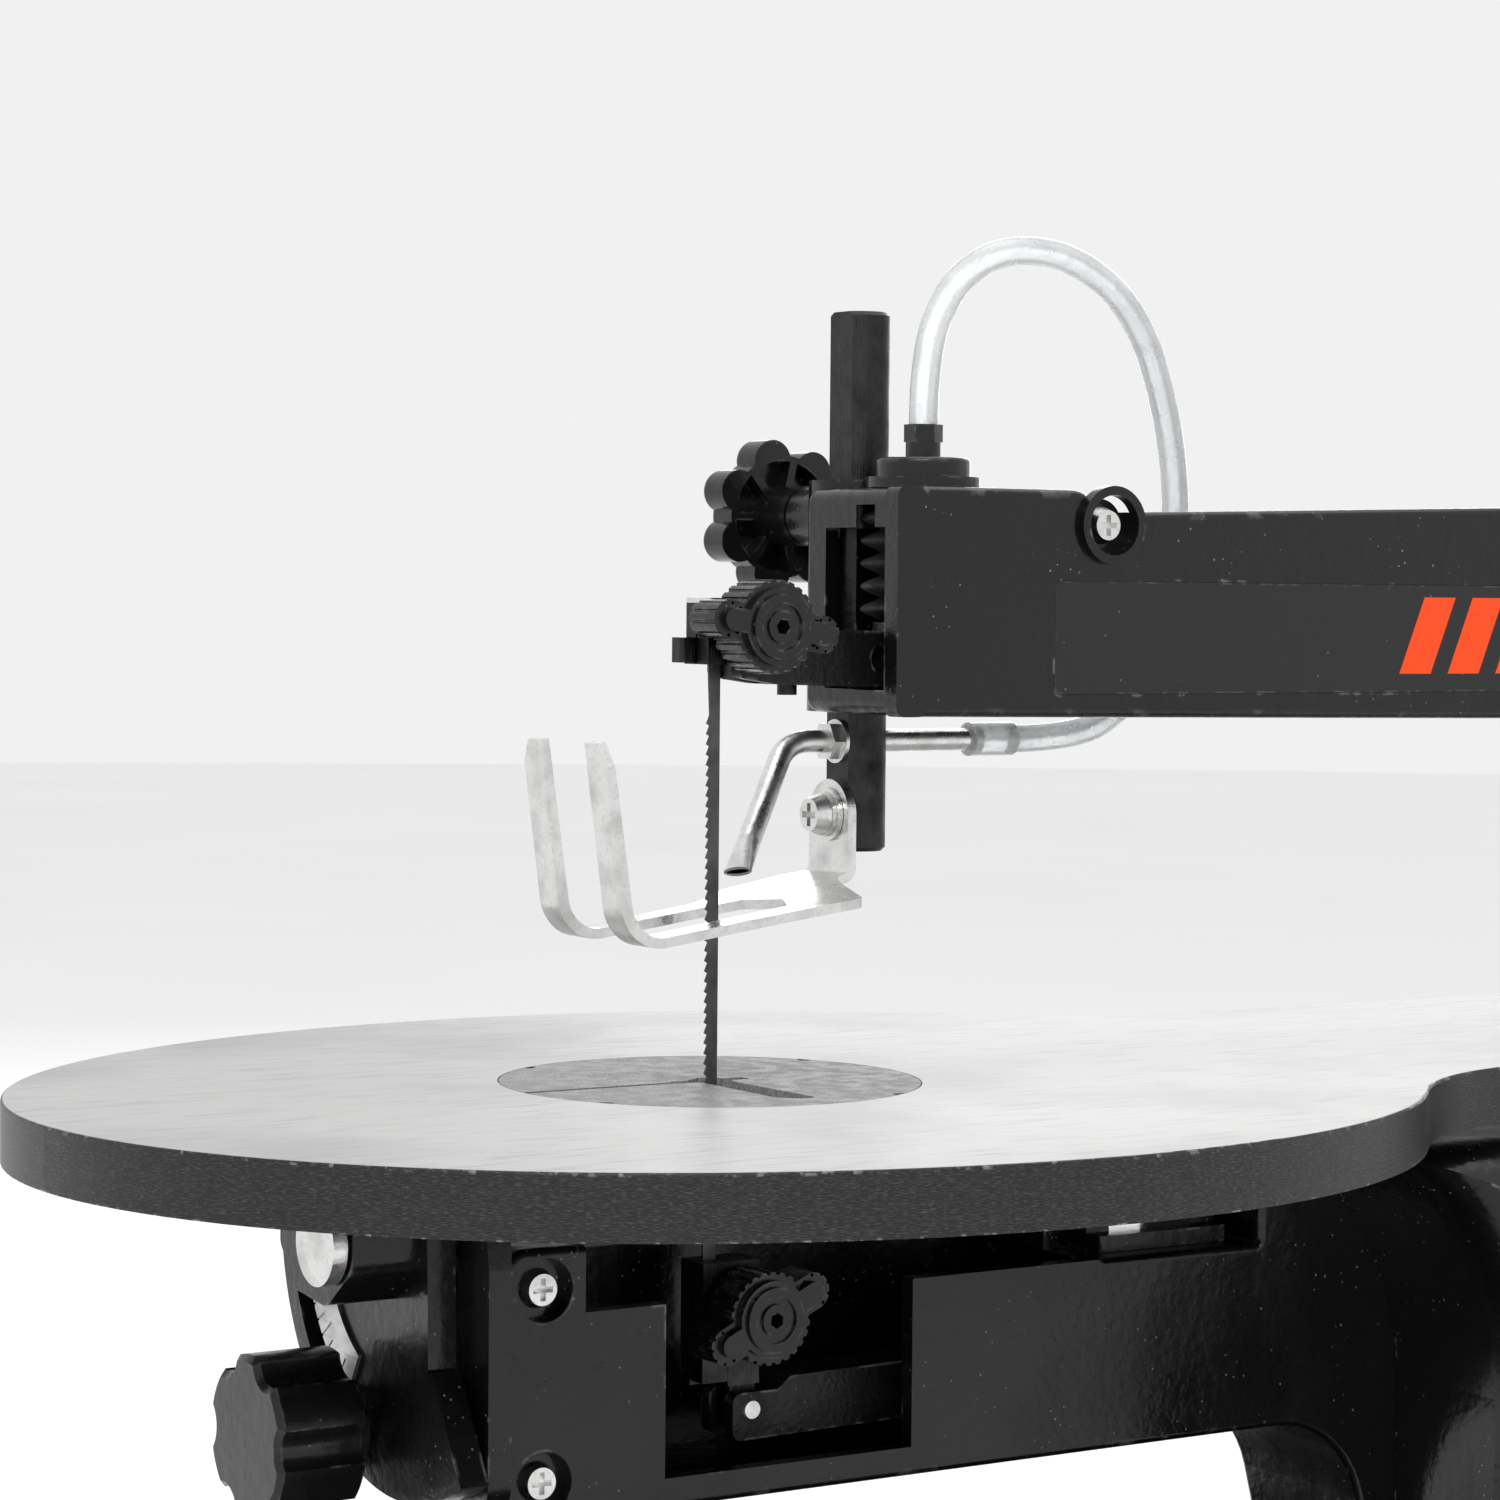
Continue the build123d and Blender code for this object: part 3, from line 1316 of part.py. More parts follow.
bracket_y = (-housing_front + 0.1, -housing_front + 5.1)
with BuildPart() as tilt_brackets:
    disc(front, 0, tilt_axis_z, bracket_y[0], 5, 9.5)
    arm = [
        (-4, -17, 0),
        (19.9, -17, 3),
        (22, -30, 0),
        (22, -76, 5),
        (-26, -76, 6),
        (-26, -56, 6),
        (1, -56, 4),
        (4, -38, 6),
        (-4, -35, 0),
    ]
    solid(front, arm, bracket_y[0], 5)
    disc(front, 0, tilt_axis_z, bracket_y[0] - 1, 8, pivot_r, mode=Mode.SUBTRACT)
    disc(front, stud_x, stud_z, bracket_y[0] - 1, 8, stud_r, mode=Mode.SUBTRACT)
    low = notch[2] + 0.1
    block(deck, -14, 14, 88, 122, low, 3.5, 1.5)
    for start in (-94.0, -122.0):
        ear = [(-9, low + 3, 0), (-8, tilt_axis_z, 0), (8, tilt_axis_z, 0), (9, low + 3, 0)]
        solid(front, ear, start, 6)
        disc(front, 0, tilt_axis_z, start, 6, 8)
    disc(front, 0, tilt_axis_z, -123, 36, 4.0, mode=Mode.SUBTRACT)
keep(tilt_brackets, "tilt_brackets")

with BuildPart() as tilt_pins:
    disc(front, 0, tilt_axis_z, bracket_y[0], lug_y[1] + 0.5 - bracket_y[0], pivot_r)
    disc(front, 0, tilt_axis_z, lug_y[1] + 0.5, 3, 8)
    disc(front, 0, tilt_axis_z, -123, 36, 4.0)
    disc(front, stud_x, stud_z, bracket_y[0], 31, stud_r)
keep(tilt_pins, "tilt_pins")

with BuildPart() as bevel_lock_knob:
    fluted_knob(front, stud_x, stud_z, 76, 18, 16, 6, 5, stud_r + running)
    disc(front, stud_x, stud_z, sector_y + sector_thickness + 1.2, 5.5, 8, hole=stud_r + running)
keep(bevel_lock_knob, "bevel_lock_knob")

# ---- controls, dust port and cord inlet -----------------------------------------------------
box_x = (48.0, 104.0)
box_y = (-48.0, 22.0)
box_z = (base_top + 0.1, base_top + 46.0)
dial_at = (76.0, -4.0)
rocker_at = (76.0, -31.0)
with BuildPart() as switch_box:
    block(deck, *box_x, *box_y, box_z[0], box_z[1] - box_z[0], 7)
    fillet(edges_at(Axis.Z, table_height + box_z[1]), 4)
    block(
        deck,
        box_x[0] + 3,
        box_x[1] - 3,
        box_y[0] + 3,
        box_y[1] - 3,
        box_z[0] - 1,
        box_z[1] - box_z[0] - 2,
        4,
        Mode.SUBTRACT,
    )
    disc(deck, *dial_at, box_z[1] - 4, 6, 4.2, mode=Mode.SUBTRACT)
    block(
        deck,
        rocker_at[0] - 14,
        rocker_at[0] + 14,
        rocker_at[1] - 9,
        rocker_at[1] + 9,
        box_z[1] - 4,
        6,
        mode=Mode.SUBTRACT,
    )
keep(switch_box, "switch_box")

with BuildPart() as switch_bezel:
    block(
        deck,
        rocker_at[0] - 16,
        rocker_at[0] + 16,
        rocker_at[1] - 11,
        rocker_at[1] + 11,
        box_z[1],
        1.8,
        2,
    )
    block(
        deck,
        rocker_at[0] - 13.9,
        rocker_at[0] + 13.9,
        rocker_at[1] - 8.9,
        rocker_at[1] + 8.9,
        box_z[1] - 14,
        14,
    )
    block(
        deck,
        rocker_at[0] - 12,
        rocker_at[0] + 12,
        rocker_at[1] - 7,
        rocker_at[1] + 7,
        box_z[1] - 12,
        16,
        mode=Mode.SUBTRACT,
    )
keep(switch_bezel, "switch_bezel")

rocker_axis_z = box_z[1] - 3.0
with BuildPart() as power_rocker:
    with BuildSketch(front.offset(-rocker_at[1] - 6.7)) as drawn:
        with BuildLine():
            Polyline(
                (rocker_at[0] - 10.4, rocker_axis_z - 2),
                (rocker_at[0] + 10.4, rocker_axis_z - 2),
                (rocker_at[0] + 10.4, rocker_axis_z + 5.4),
                (rocker_at[0], rocker_axis_z + 4.8),
                (rocker_at[0] - 10.4, rocker_axis_z + 8.0),
                close=True,
            )
        make_face()
    extrude(drawn.sketch, amount=13.4)
keep(power_rocker, "power_rocker")

with BuildPart() as speed_dial:
    disc(deck, *dial_at, box_z[1] + 0.6, 10, 13)
    with BuildSketch(deck.offset(box_z[1] + 2.6)) as grips:
        with Locations(dial_at):
            with PolarLocations(13.2, 24):
                Circle(0.9)
    extrude(grips.sketch, amount=9, mode=Mode.SUBTRACT)
    chamfer(edges_at(Axis.Z, table_height + box_z[1] + 10.6), 0.5)
    block(
        deck,
        dial_at[0] - 0.8,
        dial_at[0] + 0.8,
        dial_at[1] + 4,
        dial_at[1] + 11,
        box_z[1] + 10,
        2,
        mode=Mode.SUBTRACT,
    )
    disc(deck, *dial_at, box_z[1] - 8, 9, 4.0)
keep(speed_dial, "speed_dial")

with BuildPart() as dust_port:
    disc(side, dust_y, dust_z, -arm_half_width - 34, 34, dust_r, hole=dust_r - 2)
    disc(side, dust_y, dust_z, -arm_half_width - 3, 3 - 0.1, dust_r + 7, hole=dust_r - 2)
keep(dust_port, "dust_port")

with BuildPart() as access_cover:
    block(side, *cover_y, *cover_z, -arm_half_width - 3, 2.9, 8)
    for y, z in cover_screw_points:
        disc(side, y, z, -arm_half_width - 4, 5, 1.6, mode=Mode.SUBTRACT)
keep(access_cover, "access_cover")

with BuildPart() as cord_inlet:
    disc(rear, 0, 0, -8.0, 8.0, inlet_r, hole=4.0)
    disc(rear, 0, 0, 0, 3.0, inlet_r + 2.5, hole=4.0)
keep(cord_inlet, "cord_inlet")
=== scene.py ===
import json
import math

import bmesh
import bpy
from mathutils import Matrix, Vector


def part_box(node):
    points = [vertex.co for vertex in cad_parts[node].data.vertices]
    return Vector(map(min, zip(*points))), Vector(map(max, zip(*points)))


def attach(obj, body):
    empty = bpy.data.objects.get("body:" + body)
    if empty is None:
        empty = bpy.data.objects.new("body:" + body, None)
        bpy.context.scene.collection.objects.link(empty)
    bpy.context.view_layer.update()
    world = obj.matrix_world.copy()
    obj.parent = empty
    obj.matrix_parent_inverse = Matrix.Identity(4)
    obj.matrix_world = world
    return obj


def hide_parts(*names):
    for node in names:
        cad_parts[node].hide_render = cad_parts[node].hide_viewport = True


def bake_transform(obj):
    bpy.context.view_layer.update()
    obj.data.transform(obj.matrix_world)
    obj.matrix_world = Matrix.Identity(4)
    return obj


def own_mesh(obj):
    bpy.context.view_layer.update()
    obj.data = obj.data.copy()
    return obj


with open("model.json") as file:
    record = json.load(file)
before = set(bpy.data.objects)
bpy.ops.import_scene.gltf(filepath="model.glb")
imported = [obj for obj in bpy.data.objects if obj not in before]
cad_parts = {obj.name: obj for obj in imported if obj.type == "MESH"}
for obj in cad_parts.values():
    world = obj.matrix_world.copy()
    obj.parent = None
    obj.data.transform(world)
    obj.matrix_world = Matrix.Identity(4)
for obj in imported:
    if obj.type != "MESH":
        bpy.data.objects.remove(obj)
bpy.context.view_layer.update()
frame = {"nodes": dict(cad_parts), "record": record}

nodes = frame["nodes"]

# The blade point: where the blade's line crosses the top of the level table, in metres.
BLADE = Vector((0.0, -0.220, 0.195))


def from_blade(x, y, z):
    """A point given in millimetres from the blade point, in the row frame."""
    return BLADE + Vector((x, y, z)) / 1000.0


# ---- camera ---------------------------------------------------------------------------------
CAMERA_AT = from_blade(675.5, -422.1, 96.7)
CAMERA_AZIMUTH = 1.00295  # radians from -Y towards +X
CAMERA_TILT = 0.03833  # radians the camera looks down
CAMERA_ROLL = 0.00871
LENS_MM = 96.0
SENSOR_MM = 36.0
CLIP_START = 0.01
CLIP_END = 20.0


def make_camera():
    """Camera at the photograph's angle, without shift or depth of field."""
    data = bpy.data.cameras.new("camera")
    data.lens = LENS_MM
    data.sensor_width = SENSOR_MM
    data.clip_start = CLIP_START
    data.clip_end = CLIP_END
    back = Vector(
        (
            math.sin(CAMERA_AZIMUTH) * math.cos(CAMERA_TILT),
            -math.cos(CAMERA_AZIMUTH) * math.cos(CAMERA_TILT),
            math.sin(CAMERA_TILT),
        )
    )
    right = Vector((0, 0, 1)).cross(back).normalized()
    up = back.cross(right)
    turned_right = right * math.cos(CAMERA_ROLL) + up * math.sin(CAMERA_ROLL)
    turned_up = up * math.cos(CAMERA_ROLL) - right * math.sin(CAMERA_ROLL)
    camera = bpy.data.objects.new("camera", data)
    rotation = Matrix((turned_right, turned_up, back)).transposed()
    camera.matrix_world = Matrix.Translation(CAMERA_AT) @ rotation.to_4x4()
    bpy.context.scene.collection.objects.link(camera)
    bpy.context.scene.camera = camera


make_camera()


# ---- materials ------------------------------------------------------------------------------
# Sockets of a colour mix node, which have no names of their own.
MIX_FACTOR = 0
MIX_FIRST = 6
MIX_SECOND = 7
MIX_RESULT = 2
SPECK_CORE = 0.6  # share of a speck's radius inside which it is at full strength
EDGE_SAMPLES = 4


class Shader:
    """Builds one procedural material; lengths are in metres."""

    def __init__(
        self, name, colour, roughness, metallic=0.0, coat=0.0, coat_roughness=0.1, specular=0.5
    ):
        self.material = bpy.data.materials.new(name)
        self.material.use_nodes = True
        self.tree = self.material.node_tree
        self.surface = self.tree.nodes["Principled BSDF"]
        self.surface.inputs["Base Color"].default_value = (*colour, 1)
        self.surface.inputs["Roughness"].default_value = roughness
        self.surface.inputs["Metallic"].default_value = metallic
        self.surface.inputs["Coat Weight"].default_value = coat
        self.surface.inputs["Coat Roughness"].default_value = coat_roughness
        self.surface.inputs["Specular IOR Level"].default_value = specular
        self.place = self.add("ShaderNodeTexCoord").outputs["Object"]
        self.colour = None
        self.height = None
        self.base = colour

    def add(self, kind, **settings):
        node = self.tree.nodes.new(kind)
        for key, value in settings.items():
            setattr(node, key, value)
        return node

    def link(self, output, socket):
        self.tree.links.new(output, socket)

    def stretched(self, stretch):
        """Object coordinates scaled along each axis, which draws out brush marks."""
        mapping = self.add("ShaderNodeMapping")
        mapping.inputs["Scale"].default_value = stretch
        self.link(self.place, mapping.inputs["Vector"])
        return mapping.outputs["Vector"]

    def noise(self, size, detail=4.0, stretch=(1, 1, 1), low=0.4, high=0.6):
        """Noise with features of about the given size, from 0 to 1 between low and high."""
        texture = self.add("ShaderNodeTexNoise")
        texture.inputs["Scale"].default_value = 1.0 / size
        texture.inputs["Detail"].default_value = detail
        self.link(self.stretched(stretch), texture.inputs["Vector"])
        span = self.add("ShaderNodeMapRange")
        span.inputs["From Min"].default_value = low
        span.inputs["From Max"].default_value = high
        self.link(texture.outputs["Fac"], span.inputs["Value"])
        return span.outputs["Result"]

    def specks(self, size, amount):
        """Small round specks, 1 inside a speck; amount is their radius as a share of size."""
        texture = self.add("ShaderNodeTexVoronoi")
        texture.inputs["Scale"].default_value = 1.0 / size
        self.link(self.place, texture.inputs["Vector"])
        span = self.add("ShaderNodeMapRange")
        span.inputs["From Min"].default_value = amount
        span.inputs["From Max"].default_value = amount * SPECK_CORE
        self.link(texture.outputs["Distance"], span.inputs["Value"])
        return span.outputs["Result"]

    def both(self, first, second):
        """Product of two masks."""
        node = self.add("ShaderNodeMath", operation="MULTIPLY")
        self.link(first, node.inputs[0])
        self.link(second, node.inputs[1])
        return node.outputs["Value"]

    def edge(self, radius, low=0.02, high=0.25):
        """1 along convex and concave edges, 0 on flat faces."""
        bevel = self.add("ShaderNodeBevel", samples=EDGE_SAMPLES)
        bevel.inputs["Radius"].default_value = radius
        geometry = self.add("ShaderNodeNewGeometry")
        distance = self.add("ShaderNodeVectorMath", operation="DISTANCE")
        self.link(bevel.outputs["Normal"], distance.inputs[0])
        self.link(geometry.outputs["Normal"], distance.inputs[1])
        span = self.add("ShaderNodeMapRange")
        span.inputs["From Min"].default_value = low
        span.inputs["From Max"].default_value = high
        self.link(distance.outputs["Value"], span.inputs["Value"])
        return span.outputs["Result"]

    def facing(self, axis, low, high):
        """1 where the face looks along the piece's own X, Y or Z, 0 where it looks away."""
        own = self.add("ShaderNodeTexCoord")
        split = self.add("ShaderNodeSeparateXYZ")
        self.link(own.outputs["Normal"], split.inputs[0])
        span = self.add("ShaderNodeMapRange")
        span.inputs["From Min"].default_value = low
        span.inputs["From Max"].default_value = high
        self.link(split.outputs[axis], span.inputs["Value"])
        return span.outputs["Result"]

    def tint(self, mask, colour):
        """Mixes a colour in where the mask is 1."""
        mix = self.add("ShaderNodeMix", data_type="RGBA")
        self.link(mask, mix.inputs[MIX_FACTOR])
        if self.colour is None:
            mix.inputs[MIX_FIRST].default_value = (*self.base, 1)
        else:
            self.link(self.colour, mix.inputs[MIX_FIRST])
        mix.inputs[MIX_SECOND].default_value = (*colour, 1)
        self.colour = mix.outputs[MIX_RESULT]
        self.link(self.colour, self.surface.inputs["Base Color"])

    def vary(self, mask, at_zero, at_one):
        """Runs the roughness between two numbers by a mask."""
        span = self.add("ShaderNodeMapRange")
        span.inputs["To Min"].default_value = at_zero
        span.inputs["To Max"].default_value = at_one
        self.link(mask, span.inputs["Value"])
        self.link(span.outputs["Result"], self.surface.inputs["Roughness"])

    def bump(self, mask, depth, strength=1.0):
        """Raises the surface by the mask times depth."""
        node = self.add("ShaderNodeBump")
        node.inputs["Distance"].default_value = depth
        node.inputs["Strength"].default_value = strength
        self.link(mask, node.inputs["Height"])
        if self.height is not None:
            self.link(self.height, node.inputs["Normal"])
        self.height = node.outputs["Normal"]
        self.link(self.height, self.surface.inputs["Normal"])


def black_casting():
    """Gloss black paint over a casting: orange peel, dust specks and a little wear on edges."""
    s = Shader("black_casting", (0.004, 0.004, 0.0045), 0.24, coat=0.22, specular=0.3)
    s.tint(s.both(s.specks(0.0021, 0.13), s.noise(0.012, low=0.5, high=0.62)), (0.22, 0.22, 0.22))
    s.tint(s.both(s.edge(0.0009), s.noise(0.006, low=0.58, high=0.66)), (0.16, 0.16, 0.16))
    s.vary(s.noise(0.03, low=0.35, high=0.65), 0.16, 0.34)
    s.bump(s.noise(0.0022, 2.0, low=0.3, high=0.7), 0.00006)
    s.bump(s.noise(0.014, 3.0, low=0.3, high=0.7), 0.0003, 0.5)
    return s.material


def cast_arm():
    """Satin black paint on the moving arms, rubbed along the edges."""
    s = Shader("cast_arm", (0.009, 0.009, 0.01), 0.42, specular=0.3)
    s.tint(s.both(s.edge(0.0008), s.noise(0.004, low=0.5, high=0.6)), (0.2, 0.2, 0.2))
    s.tint(s.specks(0.0024, 0.1), (0.12, 0.12, 0.12))
    s.vary(s.noise(0.01), 0.34, 0.52)
    s.bump(s.noise(0.0014, 3.0, low=0.3, high=0.7), 0.00012)
    return s.material


def ground_iron():
    """Table: ground pale top with faint swirls, painted rim with fine brush marks and chips."""
    s = Shader("ground_iron", (0.01, 0.01, 0.011), 0.4, specular=0.35)
    top = s.facing("Z", 0.9, 0.97)
    s.tint(s.noise(0.0012, 3.0, stretch=(1, 1, 9), low=0.5, high=0.75), (0.07, 0.07, 0.07))
    s.tint(s.both(s.edge(0.0006), s.noise(0.0022, 6.0, low=0.56, high=0.66)), (0.3, 0.3, 0.3))
    s.tint(top, (0.44, 0.44, 0.435))
    s.tint(s.both(top, s.noise(0.07, 5.0, low=0.46, high=0.66)), (0.33, 0.33, 0.33))
    swirls = s.noise(0.0018, 5.0, stretch=(1, 0.12, 1), low=0.52, high=0.8)
    s.tint(s.both(top, swirls), (0.28, 0.28, 0.28))
    s.vary(top, 0.36, 0.44)
    s.bump(s.noise(0.0011, 3.0, stretch=(1, 0.2, 4), low=0.3, high=0.7), 0.00004)
    return s.material


def insert_grey():
    """Matte darker insert, finely grained."""
    s = Shader("insert_grey", (0.2, 0.2, 0.2), 0.6, metallic=0.3)
    s.tint(s.noise(0.0006, 2.0, low=0.42, high=0.6), (0.29, 0.29, 0.29))
    s.tint(s.noise(0.02, 4.0, low=0.5, high=0.7), (0.24, 0.24, 0.24))
    s.vary(s.noise(0.004), 0.52, 0.68)
    s.bump(s.noise(0.0006, 2.0, low=0.3, high=0.7), 0.00005)
    return s.material


def metal(name, colour, roughness, mark=0.0011, along=(1, 1, 1), dark=0.6, depth=0.00003):
    """Bare or plated metal with drawn-out machining marks and cloudy tarnish."""
    s = Shader(name, colour, roughness, metallic=1.0)
    dull = tuple(dark * part for part in colour)
    s.tint(s.noise(0.006, 4.0, low=0.45, high=0.75), dull)
    s.tint(s.noise(mark, 4.0, stretch=along, low=0.55, high=0.8), dull)
    s.vary(s.noise(0.005, 4.0, low=0.35, high=0.65), roughness * 0.8, roughness * 1.35)
    s.bump(s.noise(mark, 3.0, stretch=along, low=0.3, high=0.7), depth)
    return s.material


def plastic(name, colour, roughness, grain, depth, coat=0.0):
    """Moulded plastic with its grain and slightly uneven gloss."""
    s = Shader(name, colour, roughness, coat=coat, coat_roughness=0.15, specular=0.35)
    worn = s.both(s.edge(0.0006), s.noise(0.003, low=0.5, high=0.64))
    s.tint(worn, tuple(0.08 + part for part in colour))
    s.tint(s.specks(0.004, 0.07), tuple(0.1 + part for part in colour))
    s.vary(s.noise(0.008, low=0.35, high=0.65), roughness * 0.8, roughness * 1.3)
    s.bump(s.noise(grain, 2.0, low=0.3, high=0.7), depth)
    return s.material


def rubber():
    """Dull moulded rubber with a bloom of dust."""
    s = Shader("black_rubber", (0.01, 0.01, 0.01), 0.62, specular=0.3)
    s.tint(s.noise(0.009, 5.0, low=0.5, high=0.75), (0.05, 0.05, 0.05))
    s.vary(s.noise(0.004), 0.5, 0.74)
    s.bump(s.noise(0.0008, 2.0, low=0.3, high=0.7), 0.00006)
    return s.material


def clear_hose():
    """Milky translucent hose."""
    s = Shader("clear_hose", (0.8, 0.82, 0.83), 0.24, coat=0.3, coat_roughness=0.12)
    s.tint(s.noise(0.012, 3.0, low=0.45, high=0.7), (0.68, 0.7, 0.71))
    s.vary(s.noise(0.006), 0.18, 0.32)
    s.surface.inputs["Transmission Weight"].default_value = 0.45
    s.surface.inputs["IOR"].default_value = 1.4
    s.surface.inputs["Subsurface Weight"].default_value = 0.35
    s.surface.inputs["Subsurface Scale"].default_value = 0.004
    s.surface.inputs["Subsurface Radius"].default_value = (1, 1, 1)
    s.bump(s.noise(0.0016, 2.0, low=0.3, high=0.7), 0.00003)
    return s.material


def orange_paint():
    """Printed orange."""
    s = Shader("orange_print", (1.0, 0.07, 0.003), 0.36, specular=0.3)
    s.tint(s.noise(0.004, 4.0, low=0.55, high=0.8), (0.82, 0.06, 0.004))
    s.vary(s.noise(0.003), 0.28, 0.4)
    s.bump(s.noise(0.0009, 2.0, low=0.3, high=0.7), 0.00002)
    return s.material


materials = {
    "black_casting": black_casting(),
    "cast_arm": cast_arm(),
    "ground_iron": ground_iron(),
    "insert_grey": insert_grey(),
    "zinc_steel": metal("zinc_steel", (0.78, 0.78, 0.77), 0.27, dark=0.72),
    "black_oxide": metal(
        "black_oxide",
        (0.045, 0.045, 0.047),
        0.34,
        mark=0.0016,
        along=(4, 4, 0.5),
        dark=0.4,
        depth=0.00005,
    ),
    "blade_steel": metal("blade_steel", (0.1, 0.1, 0.105), 0.36, 0.0008, (1, 1, 0.2)),
    "machined_steel": metal("machined_steel", (0.56, 0.56, 0.57), 0.3),
    "bronze": metal("bronze", (0.6, 0.42, 0.19), 0.38),
    "black_plastic": plastic(
        "black_plastic", (0.006, 0.006, 0.0065), 0.24, grain=0.003, depth=0.00005, coat=0.15
    ),
    "satin_plastic": plastic("satin_plastic", (0.018, 0.018, 0.019), 0.5, 0.0009, 0.00008),
    "red_plastic": plastic("red_plastic", (0.55, 0.012, 0.01), 0.28, 0.003, 0.00004, coat=0.3),
    "scale_plate": metal("scale_plate", (0.6, 0.6, 0.6), 0.34, 0.0007, (0.15, 1, 1)),
    "black_rubber": rubber(),
    "clear_hose": clear_hose(),
    "panel": plastic("panel", (0.004, 0.004, 0.004), 0.14, 0.006, 0.00003, coat=0.3),
}
orange = orange_paint()


def paint(piece, material):
    """Gives the whole piece one material."""
    if not piece.material_slots:
        piece.data.materials.append(material)
    for slot in piece.material_slots:
        slot.material = material


for subpart in frame["record"]["subparts"]:
    paint(nodes[subpart["node"]], materials[subpart["material_slot"]])


SMOOTH_UP_TO = math.radians(60)  # edges sharper than this stay sharp


def shade_smooth(mesh):
    """Smooth shading on all but the sharp edges."""
    mesh.shade_smooth()
    mesh.set_sharp_from_angle(angle=SMOOTH_UP_TO)


def mesh_of(name, bm):
    """Turns a worked mesh into a Blender mesh and frees it."""
    mesh = bpy.data.meshes.new(name)
    bm.to_mesh(mesh)
    bm.free()
    return mesh


def skin(bm, rings):
    """Joins each ring of vertices to the next and closes both ends."""
    for first, second in zip(rings, rings[1:]):
        for side in range(len(first)):
            after = (side + 1) % len(first)
            bm.faces.new((first[side], first[after], second[after], second[side]))
    bm.faces.new(list(reversed(rings[0])))
    bm.faces.new(rings[-1])


def add_piece(name, mesh, material):
    """Puts a new mesh in the scene with its material."""
    piece = bpy.data.objects.new(name, mesh)
    bpy.context.scene.collection.objects.link(piece)
    paint(piece, material)
    return piece


# ---- air hose -------------------------------------------------------------------------------
HOSE_RADIUS = 0.003
HOSE_SIDES = 20
HOSE_LINE_ORDER = 3
HOSE_LINE_STEPS = 12  # steps between two points of the route
hose_route = [
    from_blade(2.0, 49.0, 132.2),
    from_blade(2.0, 49.0, 148.0),
    from_blade(-0.2, 57.8, 162.5),
    from_blade(-4.5, 74.0, 170.2),
    from_blade(-11.5, 98.0, 170.0),
    from_blade(-19.0, 121.0, 159.0),
    from_blade(-26.0, 136.0, 134.0),
    from_blade(-30.0, 141.0, 109.0),
    from_blade(-30.0, 136.5, 87.0),
    from_blade(-26.5, 123.0, 72.5),
    from_blade(-21.0, 106.0, 66.6),
    from_blade(-21.0, 88.7, 66.6),
]


def centreline(name, route):
    """Points along a smooth NURBS line that has the route as its control points."""
    curve = bpy.data.curves.new(name, "CURVE")
    curve.dimensions = "3D"
    curve.resolution_u = HOSE_LINE_STEPS
    spline = curve.splines.new("NURBS")
    spline.points.add(len(route) - 1)
    for point, place in zip(spline.points, route):
        point.co = (*place, 1)
    spline.order_u = HOSE_LINE_ORDER
    spline.use_endpoint_u = True
    line = bpy.data.objects.new(name, curve)
    bpy.context.scene.collection.objects.link(line)
    bpy.context.view_layer.update()
    mesh = bpy.data.meshes.new_from_object(line)
    points = [vertex.co.copy() for vertex in mesh.vertices]
    bpy.data.meshes.remove(mesh)
    bpy.data.objects.remove(line)
    bpy.data.curves.remove(curve)
    return points


def tube_mesh(name, points, radius, sides):
    """Closed tube along the points, its rings carried along without twisting."""
    bm = bmesh.new()
    across = Vector((1, 0, 0))
    rings = []
    for index, point in enumerate(points):
        ahead = points[min(index + 1, len(points) - 1)]
        behind = points[max(index - 1, 0)]
        along = (ahead - behind).normalized()
        across = (across - along * across.dot(along)).normalized()
        other = along.cross(across)
        ring = []
        for side in range(sides):
            turn = 2 * math.pi * side / sides
            outward = math.cos(turn) * across + math.sin(turn) * other
            ring.append(bm.verts.new(point + radius * outward))
        rings.append(ring)
    skin(bm, rings)
    return mesh_of(name, bm)


def make_hose():
    """The blower hose, from the bellows fitting over the arm to the sleeve on the tube."""
    points = centreline("hose_line", hose_route)
    mesh = tube_mesh("hose", points, HOSE_RADIUS, HOSE_SIDES)
    shade_smooth(mesh)
    hose = add_piece("hose", mesh, materials["clear_hose"])
    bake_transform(hose)
    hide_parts("air_hose")


make_hose()


# ---- bellows --------------------------------------------------------------------------------
BELLOWS_FOLDS = 5
BELLOWS_STEPS = 14  # rings in each fold
BELLOWS_SIDES = 48
BELLOWS_GAP = 0.0002  # how far the folds stay inside the CAD solid
BELLOWS_WAIST = 0.68  # radius between two folds, as a share of the folds' own
BELLOWS_ROUNDING = 0.7  # below 1 the folds are fuller than a plain wave


def make_bellows():
    """Rubber bellows with rounded folds."""
    low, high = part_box("air_bellows")
    centre = (Vector(low) + Vector(high)) / 2
    outer = (high[0] - low[0]) / 2 - BELLOWS_GAP
    inner = outer * BELLOWS_WAIST
    height = high[2] - low[2]
    bm = bmesh.new()
    rings = []
    for step in range(BELLOWS_FOLDS * BELLOWS_STEPS + 1):
        share = step / (BELLOWS_FOLDS * BELLOWS_STEPS)
        wave = 0.5 - 0.5 * math.cos(2 * math.pi * BELLOWS_FOLDS * share)
        radius = inner + (outer - inner) * wave**BELLOWS_ROUNDING
        ring = []
        for side in range(BELLOWS_SIDES):
            turn = 2 * math.pi * side / BELLOWS_SIDES
            place = (centre[0] + radius * math.cos(turn), centre[1] + radius * math.sin(turn))
            ring.append(bm.verts.new((*place, low[2] + height * share)))
        rings.append(ring)
    skin(bm, rings)
    mesh = mesh_of("bellows", bm)
    shade_smooth(mesh)
    bellows = add_piece("bellows", mesh, materials["black_rubber"])
    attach(bellows, "frame")
    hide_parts("air_bellows")
    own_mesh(bellows)


make_bellows()


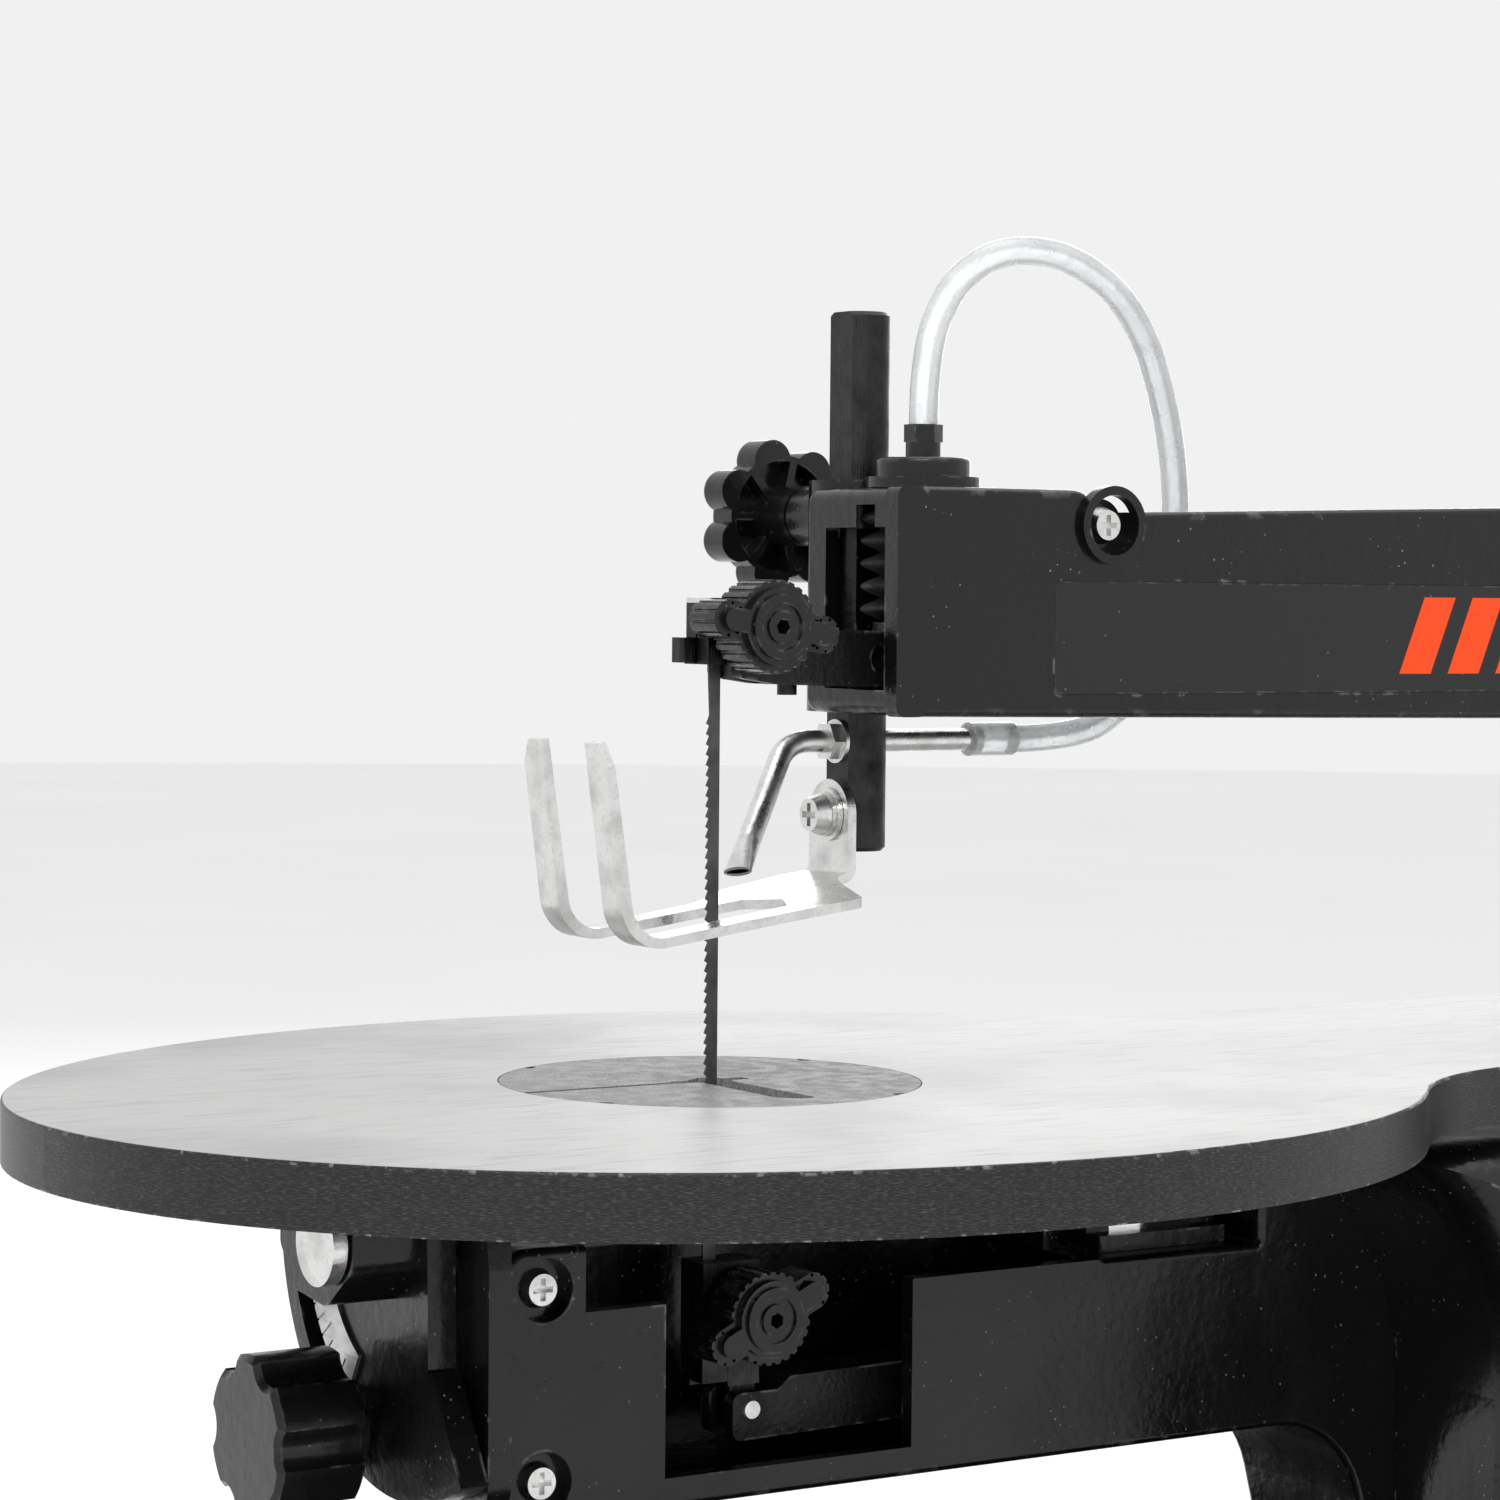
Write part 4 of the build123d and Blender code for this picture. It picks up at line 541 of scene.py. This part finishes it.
# ---- orange bars on the arm panels ----------------------------------------------------------
# Lengths in millimetres; the places are taken from the blade point.
BAR_COUNT = 6
BAR_FIRST = 163.0
BAR_PITCH = 14.0
BAR_WIDTH = 9.0
BAR_SLANT = 7.0
BAR_Z = (81.2, 97.8)
BAR_RAISE = 0.06
BAR_SINK = 0.01


def make_bars():
    """Plain slanted bars printed on both arm panels."""
    bm = bmesh.new()
    panel_x = 1000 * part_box("arm_panels")[1][0]
    for hand in (1, -1):
        for count in range(BAR_COUNT):
            start = BAR_FIRST + BAR_PITCH * count
            corners = [
                (start, BAR_Z[0]),
                (start + BAR_WIDTH, BAR_Z[0]),
                (start + BAR_WIDTH + BAR_SLANT, BAR_Z[1]),
                (start + BAR_SLANT, BAR_Z[1]),
            ]
            rings = []
            for x in (panel_x - BAR_SINK, panel_x + BAR_RAISE):
                rings.append([bm.verts.new(from_blade(hand * x, y, z)) for y, z in corners])
            skin(bm, rings)
    bmesh.ops.recalc_face_normals(bm, faces=bm.faces)
    bars = add_piece("arm_bars", mesh_of("arm_bars", bm), orange)
    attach(bars, "frame")


make_bars()


# ---- floor and light ------------------------------------------------------------------------
FLOOR_RADIUS = 6.0
FLOOR_SIDES = 64
WORLD_BRIGHTNESS = 0.88
AIM = (0, -0.1, 0.2)  # the place that every lamp looks at
LAMPS = {  # place, size and power in watts
    "key": ((1.0, -0.9, 1.3), 0.8, 7),
    "top": ((-0.1, 0.2, 1.5), 1.2, 5),
    "back": ((-1.2, 0.9, 0.7), 0.8, 5),
}


def make_floor():
    """Plain pale floor."""
    bm = bmesh.new()
    bmesh.ops.create_circle(bm, cap_ends=True, segments=FLOOR_SIDES, radius=FLOOR_RADIUS)
    floor = bpy.data.objects.new("floor", mesh_of("floor", bm))
    bpy.context.scene.collection.objects.link(floor)
    s = Shader("floor", (0.93, 0.93, 0.93), 0.75)
    s.tint(s.noise(0.4, 3.0, low=0.3, high=0.8), (0.9, 0.9, 0.9))
    paint(floor, s.material)


def make_lamp(name, place, size, power):
    """Soft square lamp that looks at the saw."""
    data = bpy.data.lights.new(name, "AREA")
    data.size = size
    data.energy = power
    lamp = bpy.data.objects.new(name, data)
    direction = Vector(AIM) - Vector(place)
    turned = direction.to_track_quat("-Z", "Y").to_matrix().to_4x4()
    lamp.matrix_world = Matrix.Translation(place) @ turned
    bpy.context.scene.collection.objects.link(lamp)


def make_world(brightness):
    """Even pale surroundings."""
    world = bpy.data.worlds.new("studio")
    world.use_nodes = True
    background = world.node_tree.nodes["Background"]
    background.inputs["Color"].default_value = (1, 1, 1, 1)
    background.inputs["Strength"].default_value = brightness
    bpy.context.scene.world = world


make_floor()
make_world(WORLD_BRIGHTNESS)
for lamp_name, (lamp_place, lamp_size, lamp_power) in LAMPS.items():
    make_lamp(lamp_name, lamp_place, lamp_size, lamp_power)
bpy.context.scene.view_settings.view_transform = "Standard"
